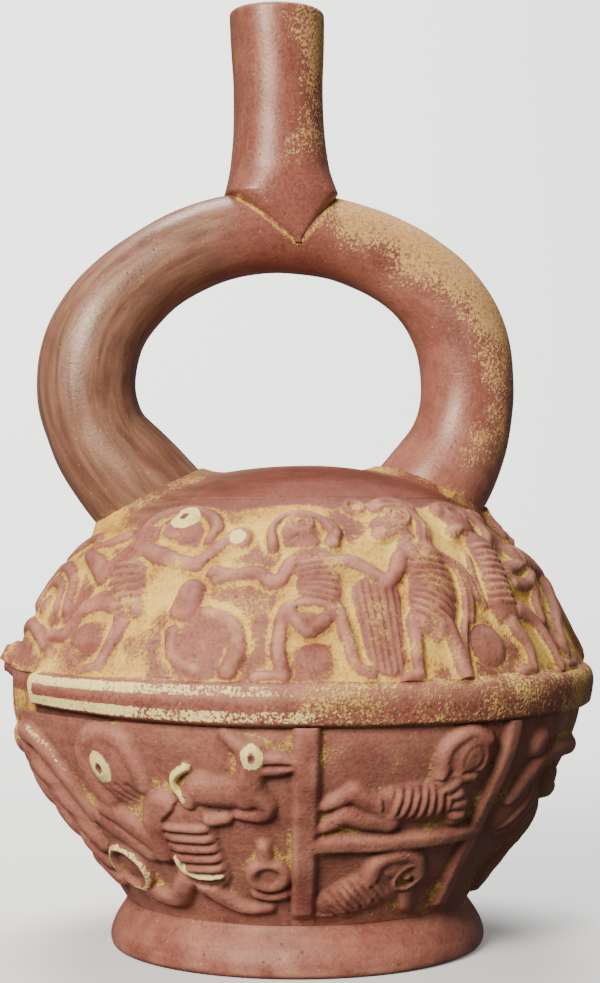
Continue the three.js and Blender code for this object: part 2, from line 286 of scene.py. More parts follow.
class Pen:
    """Draws strokes in a figure's own coordinates: degrees across from its middle, and run."""

    def __init__(self, relief, at, flip):
        self.relief, self.at, self.flip = relief, at, flip

    def _near(self, places, margin):
        """The part of the grid near some places.

        Returns its cell, each row's millimetres in a degree, each column's degrees from the
        places' middle and each row's run, then every place's own degrees and run.
        """
        relief = self.relief
        places = np.array([(self.at + self.flip * a, s) for a, s in places])
        middle = (places[:, 0].min() + places[:, 0].max()) / 2
        least = max(np.interp(places[:, 1].mean(), relief.run, relief.radius) * 0.8, 20)
        half = np.ptp(places[:, 0]) / 2 + margin / least / RADIAN
        columns = np.nonzero(np.abs(wrap(relief.azimuth - middle)) < half)[0]
        rows = np.nonzero((relief.run > places[:, 1].min() - margin)
                          & (relief.run < places[:, 1].max() + margin))[0]
        cell = np.ix_(rows, columns)
        scale = relief.radius[rows][:, None] * RADIAN
        away = wrap(relief.azimuth[columns][None] - middle)
        across = places[:, 0] - middle
        return cell, scale, away, relief.run[rows][:, None], across, places[:, 1]

    def _nearest(self, path, half, margin):
        """How far each cell near a path lies from it, in half widths of the path there.

        The half width goes from half[0] to half[1]. Also returns how far along the path the
        nearest place is, as a share of its length, and on which side the cell lies, from -1 to 1.
        """
        cell, scale, away, run, across, ups = self._near(path, margin)
        best = np.full(np.broadcast(away, run).shape, 1e9)
        share = np.zeros_like(best)
        side = np.zeros_like(best)
        pace = np.hypot(np.diff(across) * np.median(scale), np.diff(ups))
        walked = np.r_[0, np.cumsum(pace)] / pace.sum()
        for i in range(len(across) - 1):
            ax, bx = across[i] * scale, across[i + 1] * scale
            ay, by = ups[i], ups[i + 1]
            dx, dy = bx - ax, by - ay
            px, py = away * scale - ax, run - ay
            t = np.clip((px * dx + py * dy) / (dx * dx + dy * dy + 1e-9), 0, 1)
            reach = mix(half[0], half[1], mix(walked[i], walked[i + 1], t))
            apart = np.hypot(px - t * dx, py - t * dy) / reach
            nearer = apart < best
            best = np.where(nearer, apart, best)
            share = np.where(nearer, mix(walked[i], walked[i + 1], t), share)
            turn = (dx * py - dy * px) / np.sqrt(dx * dx + dy * dy + 1e-9) / reach
            side = np.where(nearer, turn, side)
        return cell, best, share, side

    def _lay(self, cell, height, inside, paint=None, bare=0.0, crease=0.0):
        relief = self.relief
        on_top = inside & (height > relief.height[cell])
        relief.crease[cell] = np.where(on_top, crease, relief.crease[cell])
        relief.height[cell] = np.maximum(relief.height[cell], height)
        if paint is not None:
            kept = relief.paint[cell]
            relief.paint[cell] = np.where(inside, paint, kept)
        if bare:
            relief.bare[cell] = np.maximum(relief.bare[cell], bare * inside)

    def roll(self, path, half, height, power=3.0, folds=0, skew=0.0, depth=0.8, flutes=0,
             paint=None, swell=1.0):
        """A roll of clay along a path, its half width and height tapering from start to end.

        Its section is height times one minus the power of the distance over the half width.
        folds are creases across it, slanted by skew; flutes are creases along it.
        """
        half = np.atleast_1d(half) * np.ones(2) + self.relief.spread * swell
        height = np.atleast_1d(height) * np.ones(2)
        if len(path) > 2:
            path = spline(path, 4 * len(path))[0]
        cell, best, share, side = self._nearest(path, half, max(half) * 1.05)
        tall = mix(height[0], height[1], share)
        crease = np.zeros_like(best)
        if folds:
            phase = (folds * share + skew * side * self.flip) % 1
            crease = depth * smooth((np.abs(2 * phase - 1) - 0.3) / 0.7)
        if flutes:
            phase = (flutes * (side + 1) / 2) % 1
            crease = depth * smooth((np.abs(2 * phase - 1) - 0.3) / 0.7)
        inside = best < 1
        self._lay(cell, tall * np.clip(1 - best ** power, 0, 1) * inside, inside, paint,
                  crease=crease * smooth((1 - best) * 3))

    def mound(self, place, half, height, power=3.0, turn=0.0, paint=None, bare=0.0):
        """A low mound on an ellipse, half across and half along, turned by some degrees."""
        wide, long = np.atleast_1d(half) * np.ones(2) + self.relief.spread * 0.4
        cell, scale, away, run, across, ups = self._near([place], max(wide, long) * 1.05)
        x, y = (away - across[0]) * scale, run - ups[0]
        c, s = math.cos(turn * RADIAN * self.flip), math.sin(turn * RADIAN * self.flip)
        apart = np.hypot((c * x + s * y) / wide, (c * y - s * x) / long)
        inside = apart < 1
        self._lay(cell, height * np.clip(1 - apart ** power, 0, 1) * inside, inside, paint, bare)

    def ring(self, place, radius, half, height, squash=1.0, paint=None):
        """A raised ring: its section is a roll at the radius."""
        cell, scale, away, run, across, ups = self._near([place], (radius + half) * 1.2)
        x, y = (away - across[0]) * scale, (run - ups[0]) / squash
        apart = np.abs(np.hypot(x, y) - radius) / half
        inside = apart < 1
        self._lay(cell, height * np.clip(1 - apart ** 2.5, 0, 1) * inside, inside, paint)

    def cut(self, path, half, depth, dark=0.0):
        """A groove along a path, cut down from whatever is there."""
        if len(path) > 2:
            path = spline(path, 3 * len(path))[0]
        cell, best, _, _ = self._nearest(path, (half, half), half * 1.3)
        cutting = np.clip(1 - best ** 2, 0, 1)
        relief = self.relief
        relief.crease[cell] = np.maximum(relief.crease[cell],
                                         depth * cutting * (relief.height[cell] > 0.2))
        relief.dark[cell] = np.maximum(relief.dark[cell], dark * cutting)

    def eye(self, place, size, height, painted=False, tall=1.0):
        """A round eye: a raised disc or ring with a small pit in its middle."""
        if painted:
            self.mound(place, (size, size * tall), height, 6, paint=1.0)
            self.ring(place, size * 0.45, size * 0.16, height + 0.15, tall, paint=1.0)
            self.mound(place, (size * 0.2, size * 0.3 * tall), height + 0.1, 6, paint=0.0)
            self.cut([place, (place[0], place[1] + 0.3)], size * 0.3, 0.6, dark=0.9)
        else:
            self.ring(place, size * 0.82, size * 0.26, height, tall)
            self.mound(place, size * 0.5, height - 0.3, 3)
            self.cut([place, (place[0], place[1] + 0.3)], size * 0.22, 0.5, dark=0.3)


# ---- Figures on the shoulder ----------------------------------------------------------------
# Each stands on the belt, so run is its height. Across is in degrees from the figure's middle.

def runner(pen):
    """Large hooded figure striding to one side, one arm raised with a white round in its hand."""
    pen.roll([(-6, 40), (-7.6, 46), (-6.3, 51.5), (-1, 55), (6, 54.6), (11.5, 51.5), (14, 47),
              (13.2, 43)], (2.2, 1.4), 2.7)
    pen.mound((2.5, 47.5), (8.4, 6.4), 1.9, 2.6)
    pen.roll([(-4, 45), (-4.6, 41), (-3, 38)], (3, 2.4), 1.9)
    pen.eye((3.2, 50.6), 4.1, 2.7, painted=True, tall=0.95)
    pen.cut([(-2.2, 48), (-1.8, 44.5), (0.8, 42.8), (4, 42.4)], 0.7, 0.8)
    pen.roll([(-13, 31), (-9.5, 36), (-5, 38.6), (1, 37.4), (7, 35.4), (12, 34.6)],
             (3.4, 2.1), (2.7, 2.3))
    pen.roll([(11.5, 34.6), (14.5, 38.5), (17, 42), (18.6, 44.2)], (2.1, 1.5), 2.3)
    pen.ring((20.6, 44.2), 2.7, 1.3, 2.3)
    pen.mound((20.4, 43.8), (2, 2.3), 2.1, 6, paint=1.0)
    pen.roll([(-7, 35), (-5, 28), (-1.5, 20.5)], (7.4, 5.2), 2.8, power=2.8, folds=6, skew=-0.55)
    pen.roll([(-14, 31.5), (-20, 35), (-27.5, 38.2)], (3, 1.7), (2.4, 2.0))
    pen.roll([(-27, 38.4), (-21, 41.5), (-15, 45)], 1.6, 1.7)
    pen.roll([(-2.5, 21.5), (-9, 22.8), (-14.5, 20)], (3.6, 2.6), 2.5)
    pen.roll([(-14.5, 20), (-16.5, 15.5), (-19, 12), (-25, 11.2)], (2.2, 1.1), (2.2, 1.7))
    pen.roll([(-1, 21), (-2.6, 12), (-4, 4)], (3.2, 1.7), 2.3)
    pen.roll([(-3.6, 3.6), (-8.6, 1.6)], (1.7, 1), 1.8)
    pen.mound((-12, 12.5), (6, 4.4), 1.0, 2.6)
    pen.mound((-22, 7), (4.4, 2.6), 1.2, 2, turn=-30)


def coiled(pen):
    """Curled creature of nested bands, seen low at the side."""
    for reach, thick in ((12.5, 1.9), (8, 1.8)):
        pen.roll([(-reach, 20), (-reach * 0.7, 20 + reach * 0.85), (0, 20 + reach),
                  (reach * 0.75, 20 + reach * 0.7), (reach, 20)], (thick, thick * 0.8), 2.0)
    pen.mound((0, 20), (4.6, 3.6), 2.2, 2.5)
    pen.roll([(-12, 12.5), (-4, 14), (5, 11.5), (10, 8.5)], (2, 1.5), 1.8)
    pen.roll([(-9, 36), (-3, 41), (4, 44), (9, 42)], (1.9, 1.2), 1.7)


def squatter(pen):
    """Small seated figure wrapped in a cloak, with a pitted lump behind it."""
    pen.roll([(-3, 21), (-2.6, 26.4)], (4.2, 3.6), 2.2)
    pen.ring((-2.6, 26.3), 2.0, 0.8, 2.6)
    pen.mound((1.8, 10.5), (9.4, 12), 1.6, 3)
    pen.roll([(2, 19.5), (7, 17), (8.8, 10), (7.6, 3)], (2.2, 2), 1.9)
    pen.roll([(-4.5, 14), (-3, 7), (2, 3)], (1.6, 1.2), 2.0)
    pen.mound((-11, 9.5), (7.4, 5.8), 1.2, 3)
    for i in range(14):
        turn, out = 2.4 * i, 1.2 * math.sqrt(i)
        spot_at = (-11 + out * math.cos(turn) * 0.9, 9.5 + out * math.sin(turn))
        pen.cut([spot_at, (spot_at[0] + 0.2, spot_at[1] + 0.3)], 0.7, 0.7, dark=0.4)


def walker(pen):
    """Standing figure in a banded shirt and a pointed loincloth, both arms out."""
    pen.mound((-2.6, 46.4), (6.6, 6.8), 2.3, 2.6)
    pen.roll([(-8.6, 41), (-9.2, 47), (-6.2, 51.8), (-1, 52.8), (3.2, 50.4), (5.4, 46.6)],
             (1.0, 0.8), 3.0, power=2.5)
    pen.eye((-2, 48.4), 3.7, 3.1)
    pen.roll([(4.4, 49.6), (6.4, 45.8), (5, 41.6)], (2.2, 1.5), 2.3)
    for place in ((4.6, 47.4), (6.8, 44.4), (6.2, 41.6)):
        pen.mound(place, 1.5, 3.0, 2.5)
    pen.cut([(-6.8, 43.6), (-4.4, 43.2), (-2.6, 43.9)], 0.5, 0.7)
    pen.roll([(0, 41.5), (0.8, 37)], (3.2, 3.8), 2.0)
    pen.roll([(1, 36), (1.8, 29), (1.2, 22)], (6.4, 5.6), 2.9, power=2.8, folds=8, skew=-0.3)
    pen.roll([(-4, 35.4), (-6.4, 30.6), (-8.6, 30), (-12, 32.6), (-17, 31.8)], (1.9, 1.1),
             (2.2, 1.8))
    for tip in ((-22, 34), (-22.6, 32), (-21, 30)):
        pen.roll([(-16.6, 31.8), tip], (0.8, 0.5), 1.5)
    pen.roll([(4, 35.2), (8.6, 36), (12.4, 33.4), (16, 29.4)], (2.1, 1.6), 2.4)
    pen.mound((15.6, 28.2), (2.4, 1.9), 2.5, 2.5)
    pen.roll([(-5.4, 21.6), (-1, 22.6), (4.2, 21)], 0.8, 3.2, power=2)
    pen.roll([(-4.6, 20.2), (-1.2, 14.6)], (2.4, 1.4), 2.7)
    pen.roll([(3.4, 20), (-0.4, 14.4)], (2.8, 1.4), 2.7)
    pen.mound((-0.6, 18.4), (4.4, 3), 2.6, 2.6)
    pen.roll([(-5.6, 19), (-6.4, 10), (-5.4, 2)], (1.7, 1.3), 2.0)
    pen.roll([(-5.4, 2.4), (-10.4, 1.6)], (1.4, 0.9), 1.6)
    pen.roll([(5, 21), (6.6, 12), (7.6, 5), (10.2, 2.2)], (1.9, 1.2), 2.3)
    pen.mound((0.2, 7.4), (4.6, 4.4), 1.1, 5)


def drape(pen):
    """Cloth hanging between two figures, creased down its length."""
    pen.roll([(0, 25), (0, 7)], (6.4, 5.4), 1.7, power=6, flutes=7, depth=0.5)


def caped(pen):
    """Standing figure in a crest and a cape, wrapped in slanting bands."""
    pen.mound((-2.6, 47.2), (6.6, 6.4), 2.4, 2.6)
    pen.mound((-6.4, 45), (3, 2.6), 2.9, 2.5)
    pen.cut([(-8.6, 42.4), (-5.4, 42), (-2.6, 43.4)], 0.7, 1.0, dark=0.4)
    pen.eye((0.4, 50.9), 3.5, 3.3)
    pen.roll([(5, 53), (6.6, 48), (4.4, 42)], (2.8, 1.9), 2.5, flutes=3, depth=0.4)
    pen.roll([(-4.6, 55.6), (1, 59.6), (7.6, 56)], (2.4, 1.8), 2.4)
    pen.roll([(-4, 54.8), (1.4, 56), (7, 54.4)], 0.7, 3.0, power=2)
    pen.ring((-10.6, 57), 2.5, 1.1, 2.0)
    pen.roll([(-0.4, 42.4), (1, 38.4)], (3.4, 4.2), 2.2)
    pen.roll([(1.6, 36.6), (2, 27), (-0.8, 17)], (7.6, 6.4), 3.1, power=2.8, folds=9, skew=-0.85,
             depth=0.9)
    for path in ([(3.4, 40.2), (9, 36.4), (12.4, 32.6), (12.6, 23)],
                 [(5.4, 38.4), (9.8, 32), (8.6, 21), (5.4, 11), (4.4, 1)],
                 [(4.6, 39.4), (11, 34), (10.8, 24), (9, 17)]):
        pen.roll(path, (0.9, 0.7), 1.9, power=2)
    pen.roll([(-4, 36), (-6, 32), (-8.8, 28.4)], (2.3, 1.7), 2.6)
    pen.roll([(-4.6, 17.6), (-5.4, 9), (-6, 2)], (2.0, 1.4), 2.2)
    pen.roll([(2, 17), (3.2, 8), (3.6, 1)], (2.6, 1.7), 2.5)
    pen.roll([(-5.8, 2), (-8.6, 1.2)], (1.4, 0.9), 1.6)
    pen.mound((11.4, 9.6), (6, 6), 1.7, 2.6, bare=1.0)


def hooded(pen):
    """Hooded figure bowed over a banded body, one long arm to the side."""
    pen.mound((-1.2, 49.4), (6.8, 6.6), 2.5, 2.6)
    pen.roll([(-3.6, 46.6), (-7.6, 45)], (2.6, 1.6), 2.6)
    pen.cut([(-8, 44.6), (-5, 44.2), (-3, 45)], 0.5, 0.8)
    pen.eye((-0.6, 51.6), 3.7, 3.2)
    pen.roll([(-6, 53.6), (-1.6, 57), (4.4, 55.8), (9, 50.4), (8, 44), (4, 41)], (2.2, 1.6), 2.4)
    pen.roll([(0.6, 40.4), (-0.6, 34), (-2.2, 27), (-3.2, 20.6)], (5.4, 6), 3.1, power=2.8,
             folds=9, skew=0.25)
    pen.roll([(-3.6, 20.4), (-2.6, 14), (-0.8, 9), (-1.4, 2)], (2.5, 1.2), (2.6, 1.9))
    pen.roll([(1, 19.4), (5, 16.6), (7.4, 10), (8.4, 1.6)], (2.7, 1.5), (2.7, 2.2))
    pen.roll([(-6.8, 37), (-8.4, 30), (-9, 21)], 0.8, 1.4, power=2)
    pen.roll([(3, 30.6), (9, 32.6), (20, 34.6)], (2, 1.5), 2.2)
    pen.roll([(-5, 1.6), (-1, 2)], 1.2, 1.5)


def reacher(pen):
    """Lean figure crouched to one side, with long bent limbs and a knobbed knee."""
    pen.mound((-3, 51.6), (4.8, 5), 2.2, 3)
    pen.eye((-3.6, 52.4), 2.6, 2.8)
    pen.roll([(-11, 27.6), (-4, 27.2), (4, 30)], (1.9, 1.6), 2.4)
    pen.roll([(1, 37), (10, 34), (20, 29)], (4.4, 5), 3.0, power=2.8, folds=7, skew=0.3)
    pen.roll([(14, 26), (7, 18), (1.5, 13), (-1.6, 6)], (3.6, 2.2), (3.0, 2.4))
    pen.mound((-2.2, 8), 2.8, 3.1, 2.5)
    pen.roll([(0.4, 26), (-4, 22), (-5.6, 16)], (2, 1.4), 2.0)
    pen.roll([(18, 24), (17, 14), (19, 4)], (3, 1.8), 2.5)
    pen.roll([(-4, 2.4), (1, 2)], 1.3, 1.6)


# ---- Figures on the bowl --------------------------------------------------------------------
# Run is the distance below the belt.

def lying(pen):
    """Reclining figure in a panel: ringed eye, cloak in bands, knees drawn up."""
    pen.mound((9, 9.4), (8.6, 8.8), 2.4, 5)
    pen.mound((9, 9.4), (7.4, 7.6), 2.9, 2.6)
    pen.roll([(4.2, 14.6), (4.2, 6.6), (8.4, 2.4), (13, 4.6)], (1.8, 1.4), 3.1, power=2.5)
    pen.ring((10, 9.4), 4.2, 0.8, 3.4, 1.1)
    pen.ring((10, 9.2), 2.0, 0.7, 3.3, 1.1)
    pen.roll([(7, 14.6), (11.2, 15)], (1.9, 1.4), 3.0)
    pen.cut([(8.4, 13.4), (12, 13.6)], 0.5, 1.0, dark=0.3)
    pen.roll([(8, 20.6), (2.6, 23), (-5, 23.4)], (6.6, 4.6), 3.3, power=2.8, folds=7, skew=0.35,
             depth=1.0)
    pen.roll([(5.6, 16.4), (9.4, 21.6), (11.4, 29)], (4.2, 2.6), 3.4, power=2.8, folds=4, skew=0.2)
    pen.roll([(-4.4, 25.6), (-9.4, 22.4), (-13, 19.2)], (3, 2.2), 2.9)
    pen.roll([(-13, 19.2), (-16, 21.6), (-18.4, 23.4)], (2.2, 1.2), (2.8, 2))
    pen.roll([(-4.6, 29.4), (-10, 28.2), (-14.2, 26.2)], (2.8, 2.3), 2.9)
    pen.roll([(-14.2, 26.2), (-16.6, 29), (-19, 31)], (2.2, 1.2), (2.8, 2))


def curled(pen):
    """Second figure lying in the low panel, its banded back towards the foot."""
    pen.mound((4, 46.6), (6.2, 6.2), 2.8, 2.6)
    pen.roll([(-1.4, 50), (-0.6, 43.6), (4.4, 41), (9.6, 43.6), (12, 48.6)], (2.3, 1.6), 3.1)
    pen.ring((8.6, 49), 3.9, 0.9, 3.4, 1.15)
    pen.mound((8.6, 49), 1.8, 3.0, 2.5)
    pen.roll([(2, 52), (-4, 56), (-9.6, 59.6)], (7.2, 5.4), 3.2, power=2.8, folds=7, skew=-0.4,
             depth=0.9)
    pen.mound((-9.4, 63.2), (6.4, 2.6), 2.8, 3)
    pen.cut([(-11.4, 60.6), (-9, 62.4), (-8, 64.2)], 0.7, 1.0, dark=0.3)
    pen.roll([(11, 56), (13, 61), (14.4, 64)], (1.9, 1.3), 2.3)


def beast(pen):
    """Small animal with a white eye and tail, its legs folded under it."""
    pen.mound((-6.0, 18.2), (6.2, 5.2), 3.3, 3)
    pen.roll([(-6.6, 18.2), (-1.6, 19), (2.6, 18.6)], (4.4, 4.2), 3.3, power=2.6)
    pen.roll([(4.4, 8.6), (3.4, 13), (2, 20)], (3, 3.8), 3.2)
    pen.mound((4, 7.6), (4.4, 4.2), 3.0, 3)
    pen.roll([(1.8, 5), (-0.8, 1.8)], (1.7, 0.9), (2.3, 1.5))
    pen.eye((4, 7.4), 2.6, 3.4, painted=True, tall=1.1)
    pen.roll([(6.4, 8.2), (9.8, 8.6), (11.2, 9.4)], (1.6, 0.9), 2.8)
    pen.roll([(4.8, 11), (8.2, 11.6), (10.6, 10.8)], (1.5, 0.9), 2.8)
    pen.cut([(6.4, 10), (10.8, 10)], 0.5, 1.6, dark=0.5)
    pen.roll([(4.4, 20), (6, 23.6), (4.6, 26.2), (0.4, 25.8)], (2, 1.2), (3.1, 2.4))
    pen.roll([(-9.4, 20.6), (-10.2, 25.4), (-7, 27.8), (-2.6, 27.2)], (2.2, 1.2), (3.1, 2.4))
    pen.roll([(-9, 11.6), (-11.6, 14.4), (-12, 17.6), (-10.6, 20.6)], (1.4, 1.1), 2.7, paint=1.0,
             swell=0)


def striding(pen):
    """Largest figure: hooded head with a white almond eye, folded shirt and paired forearms."""
    pen.roll([(-4.4, 24), (-6.4, 16), (-6, 7.6), (-1.6, 3), (4, 5), (6.6, 12), (7, 18)],
             (2.8, 2.2), 2.7)
    pen.mound((0.4, 12.4), (11.4, 12), 1.9, 4)
    pen.mound((0.2, 12.6), (8.2, 9.8), 2.6, 5)
    pen.eye((-1.8, 12.6), 3.4, 3.2, painted=True, tall=1.3)
    for x in (-1.6, 1.0, 3.4):
        pen.cut([(x, 17.4), (x + 1.2, 21), (x + 3.4, 24)], 0.5, 0.7)
    pen.mound((10.4, 24.4), (7, 6), 3.3, 3.5)
    pen.roll([(9.6, 23), (6.6, 31), (5.6, 40.6)], (3.9, 3), 3.3)
    pen.roll([(14, 28.6), (14.4, 38), (15, 46.4)], (7.4, 6.4), 3.4, power=5, folds=5, depth=1.3,
             skew=0.1)
    pen.roll([(-6.4, 26.6), (-1, 31), (4, 36.4)], (3.3, 3), 3.2)
    pen.roll([(-9.6, 31), (-3.6, 36.4), (2, 41.2)], (3, 2.6), 3.0)
    pen.roll([(9.4, 42), (10.4, 45.6), (14, 47.8), (19.4, 47.4)], (1.5, 1.1), 3.6, paint=1.0,
             swell=0)
    pen.roll([(13, 48), (14, 54)], (5, 3), 2.2, flutes=5, depth=0.6)
    pen.ring((-9.4, 48.2), 6.4, 1.9, 3.2, 1.05)
    pen.ring((-9.4, 48.2), 7.0, 0.8, 3.5, 1.05, paint=0.72)
    pen.mound((-9.4, 48.2), (5.2, 5.4), 1.4, 5, paint=0.0)
    pen.roll([(-6.4, 57.4), (2.4, 58.6), (8.6, 51)], (2.8, 2.3), 2.8)
    pen.roll([(14, 52), (18, 57), (24, 61), (30, 60.4)], (2.8, 1.2), (2.8, 2.1))


def jar(pen):
    """Small round jar seen from its mouth, with a narrow neck above."""
    pen.roll([(-0.4, 37), (-0.2, 41.6)], (2.0, 2.4), 2.5, swell=0.3)
    pen.mound((0, 47.6), (5.4, 6), 1.7, 3)
    pen.ring((0, 47.4), 4.4, 2.3, 3.0)
    pen.roll([(-3.6, 55), (0, 56), (3.6, 55)], 1.6, 2.3, swell=0.3)


def flank(pen):
    """Long bent limb and a body at the edge of the large panel."""
    pen.roll([(2, 6.6), (8, 7.4), (13, 14), (16, 22), (18, 31)], (3.2, 2.4), (3.2, 2.8))
    pen.roll([(6, 3.4), (12.4, 8.4), (16.4, 16)], (1.0, 0.7), 1.7, power=2, paint=0.54,
             swell=0)
    pen.roll([(-2, 14), (4, 22), (9, 32), (12, 42)], (4.4, 3.4), 3.2, power=3.5, folds=3,
             skew=0.4, depth=0.5)
    pen.roll([(-8, 20), (-4, 32), (4, 42), (8, 50)], (4.6, 3), 3.3, folds=3, skew=-0.3,
             depth=0.6)
    pen.mound((-6, 10), (5.4, 5), 3.0, 3)
    pen.roll([(0, 50), (8, 56)], (3, 2.2), 2.7)


def bowed(pen):
    """Banded body bent forward beyond the right rib, an arm folded over its head."""
    pen.mound((-7, 7.6), (4.2, 4.6), 2.4, 3.5)
    pen.roll([(-9.4, 25), (-7, 18), (-3.4, 13), (4, 11), (14, 11.4)], (2.7, 2.2), 3.0)
    pen.roll([(-6, 28), (4, 34), (16, 41)], (8.8, 8), 3.6, power=2.8, folds=8, skew=0.25,
             depth=1.0)
    pen.roll([(6, 20), (12, 25), (20, 27)], (3.4, 2.6), 3.1)
    pen.roll([(12, 45), (8, 54), (12, 61)], (4, 2.4), (3.2, 2.6))
    pen.roll([(22, 42), (22, 52), (18, 60)], (4, 2.6), (3.2, 2.6))


# ---- The chamber ----------------------------------------------------------------------------

shoulder_wall = Wall(SHOULDER, upwards=True)
bowl_wall = Wall(BOWL, upwards=False)

HALVES = {"front": (-100, 80), "back": (80, 260)}  # azimuths of the chamber's two moulded halves
RELIEF_TOP = 63.0  # run at which the shoulder's figures give way to the plain crown
FILLET_TOP = 150  # height above which the arms stand clear of the clay smoothed round them
SIDE_HEAD = {"azimuth": -95, "height": 83.8, "half": 5.8, "proud": 3.6}
BELT_GAP = {"azimuth": -90, "half": 19}  # where the belt isn't raised
BELT_RADIUS = 86  # middling radius of the wall beside the belt
BELT_EDGE = 83.6  # height of the belt's upper edge, which keeps its place where the belt thins
HEAD_ROOT = 83.6  # radius from which the side head swells out of the belt
UPPER_LINE, LOWER_LINE = 81.4, 74.6  # heights of the belt's two painted lines
STRAP_FROM = -69  # azimuth where the white border of the belt starts
FOLD_SOFTENING = 0.28  # folds stay crisper than the forms that they cross
BROAD_FORM = 1.7  # softening that leaves the figures' broad forms and none of their detail

SHOULDER_FIGURES = [
    (coiled, -80, 1), (runner, -45, 1), (squatter, -30, 1), (walker, -7, 1), (drape, 6.5, 1),
    (caped, 18, 1), (hooded, 41, 1), (reacher, 57, 1), (walker, 88, -1), (caped, 112, 1),
    (drape, 126, 1), (runner, 150, -1), (squatter, 174, -1), (walker, 192, 1), (hooded, 214, -1),
    (caped, 236, -1), (drape, 250, 1),
]
BOWL_FIGURES = [
    (flank, -79, 1), (striding, -48, 1), (jar, -17, 1), (beast, -22, 1), (lying, 14, 1),
    (curled, 10, 1), (bowed, 50, 1), (striding, 103, -1), (beast, 128, -1), (jar, 132, 1),
    (lying, 160, -1), (curled, 160, 1), (bowed, 196, 1), (beast, 236, 1), (jar, 244, 1),
]
RIBS = [(-8.3, 3.9, 2.7, 0), (33, 3.1, 2.6, 5), (90, 3, 2.6, 0), (142, 2.9, 2.5, 2),
        (184, 3.1, 2.5, -3), (232, 3.1, 2.6, 0)]
CROSS_RIBS = [(-6, 33), (142, 184)]

hand = Ripple(11, 60)  # slow unevenness of the hand-finished wall
tool = Ripple(12, 13)  # finer marks of the smoothing tool
patch = Ripple(13, 26)  # patches where a deposit holds or has gone
spot = Ripple(14, 7)


def side_head(azimuth, height):
    """A rounded head at the left side, over the belt's gap: half an ellipsoid with an eye."""
    across = wrap(azimuth - SIDE_HEAD["azimuth"])[None] * RADIAN * BELT_RADIUS
    away = np.hypot(across, height[:, None] - SIDE_HEAD["height"]) / SIDE_HEAD["half"]
    ball = SIDE_HEAD["proud"] * np.sqrt(np.clip(1 - away ** 2, 0, None))
    ring = 0.8 * bump_at(away, 0.52, 0.16) - 0.7 * bump_at(away, 0.2, 0.2)
    return (ball + ring * (away < 1)) * (away < 1)


def foot_fillet(points):
    """Clay smoothed on where the stirrup's arms stand: it rises towards each arm's tube."""
    share = np.linspace(0, 1, 121)
    line = spline(STIRRUP_LINE, len(share))[0]
    gap = np.full(points.shape[:-1], 1e9)
    for (x, z), radius in zip(line, stirrup_radius(share)):
        if z < FILLET_TOP:
            away = np.sqrt((points[..., 0] - x) ** 2 + points[..., 1] ** 2
                           + (points[..., 2] - z) ** 2)
            gap = np.minimum(gap, away - radius)
    return 2.6 * np.clip(1 - gap / 7, 0, 1) ** 2.2


def near_stirrup(points):
    """1 close to where an arm meets the crown, 0 a few millimetres away."""
    return smooth(foot_fillet(points) / 0.9)


def inner_rows(wall, azimuth, runs):
    """Rings of the chamber's inside, one wall thickness within."""
    return wall.points(azimuth, runs, -CHAMBER_WALL)


def half_grid(half, columns, spare=14):
    """Azimuths over one half, with spare columns on each side that are dropped at the end."""
    first, last = HALVES[half]
    step = (last - first) / (columns - 1)
    return first + step * (np.arange(columns + 2 * spare) - spare), slice(spare, -spare)


def softened(field, size, pitch):
    """A height field averaged over a distance in millimetres."""
    return blurred(field, max(1, int(round(2 * (size / pitch) ** 2))))


def edge_shade(height, pitch):
    """1 in the angle at the foot of each form: painted shade there, and grime that stays in the
    angle.
    """
    return smooth((softened(height, 0.8, pitch) - height - 0.06) / 0.3)


def rubbed(ground, pitch):
    """The share of the relief's height that handling has left."""
    return 1 - 0.07 * softened(np.abs(tool(ground * 1.7)), 0.5, pitch)


def right_grime_and_shade(azimuth):
    """Brown darkening that thickens round the vessel's right side: grime on the chamber, and
    painted shade on the foot.
    """
    return 0.45 * bump_at(wrap(azimuth - 90)[None], 0, 75)


def crown_smoke(azimuth, run):
    """Fire cloud that spreads from the left arm over the crown."""
    return 0.6 * bump_at(wrap(azimuth + 70)[None], 0, 50) * smooth((run[:, None] - 46) / 14)


def worked_half(wall, half, columns, pitch, length, spread, figures):
    """Azimuths, the columns kept, runs, and the relief of one half of a zone."""
    azimuth, kept = half_grid(half, columns)
    run = np.linspace(0, length, int(length / pitch) + 1)
    relief = Relief(wall, azimuth, run, spread)
    for figure, at, flip in figures:
        figure(relief.pen(at, flip))
    return azimuth, kept, run, relief


def closed_half(name, wall, azimuth, kept, run, proud, layers, inner):
    """Half of a zone as a closed mesh: its worked outside, and about that many inner rings."""
    outside = wall.points(azimuth, run, proud)[:, kept]
    inside = inner_rows(wall, azimuth, run[:: -(len(run) // inner)])[:, kept]
    rows = np.vstack([outside, inside])
    layers = over_outside(layers, proud.shape, inside, (slice(None), kept))
    return skin(name, rows, layers, open_ends=True, flat_rows=(len(run) - 1, len(rows) - 1))


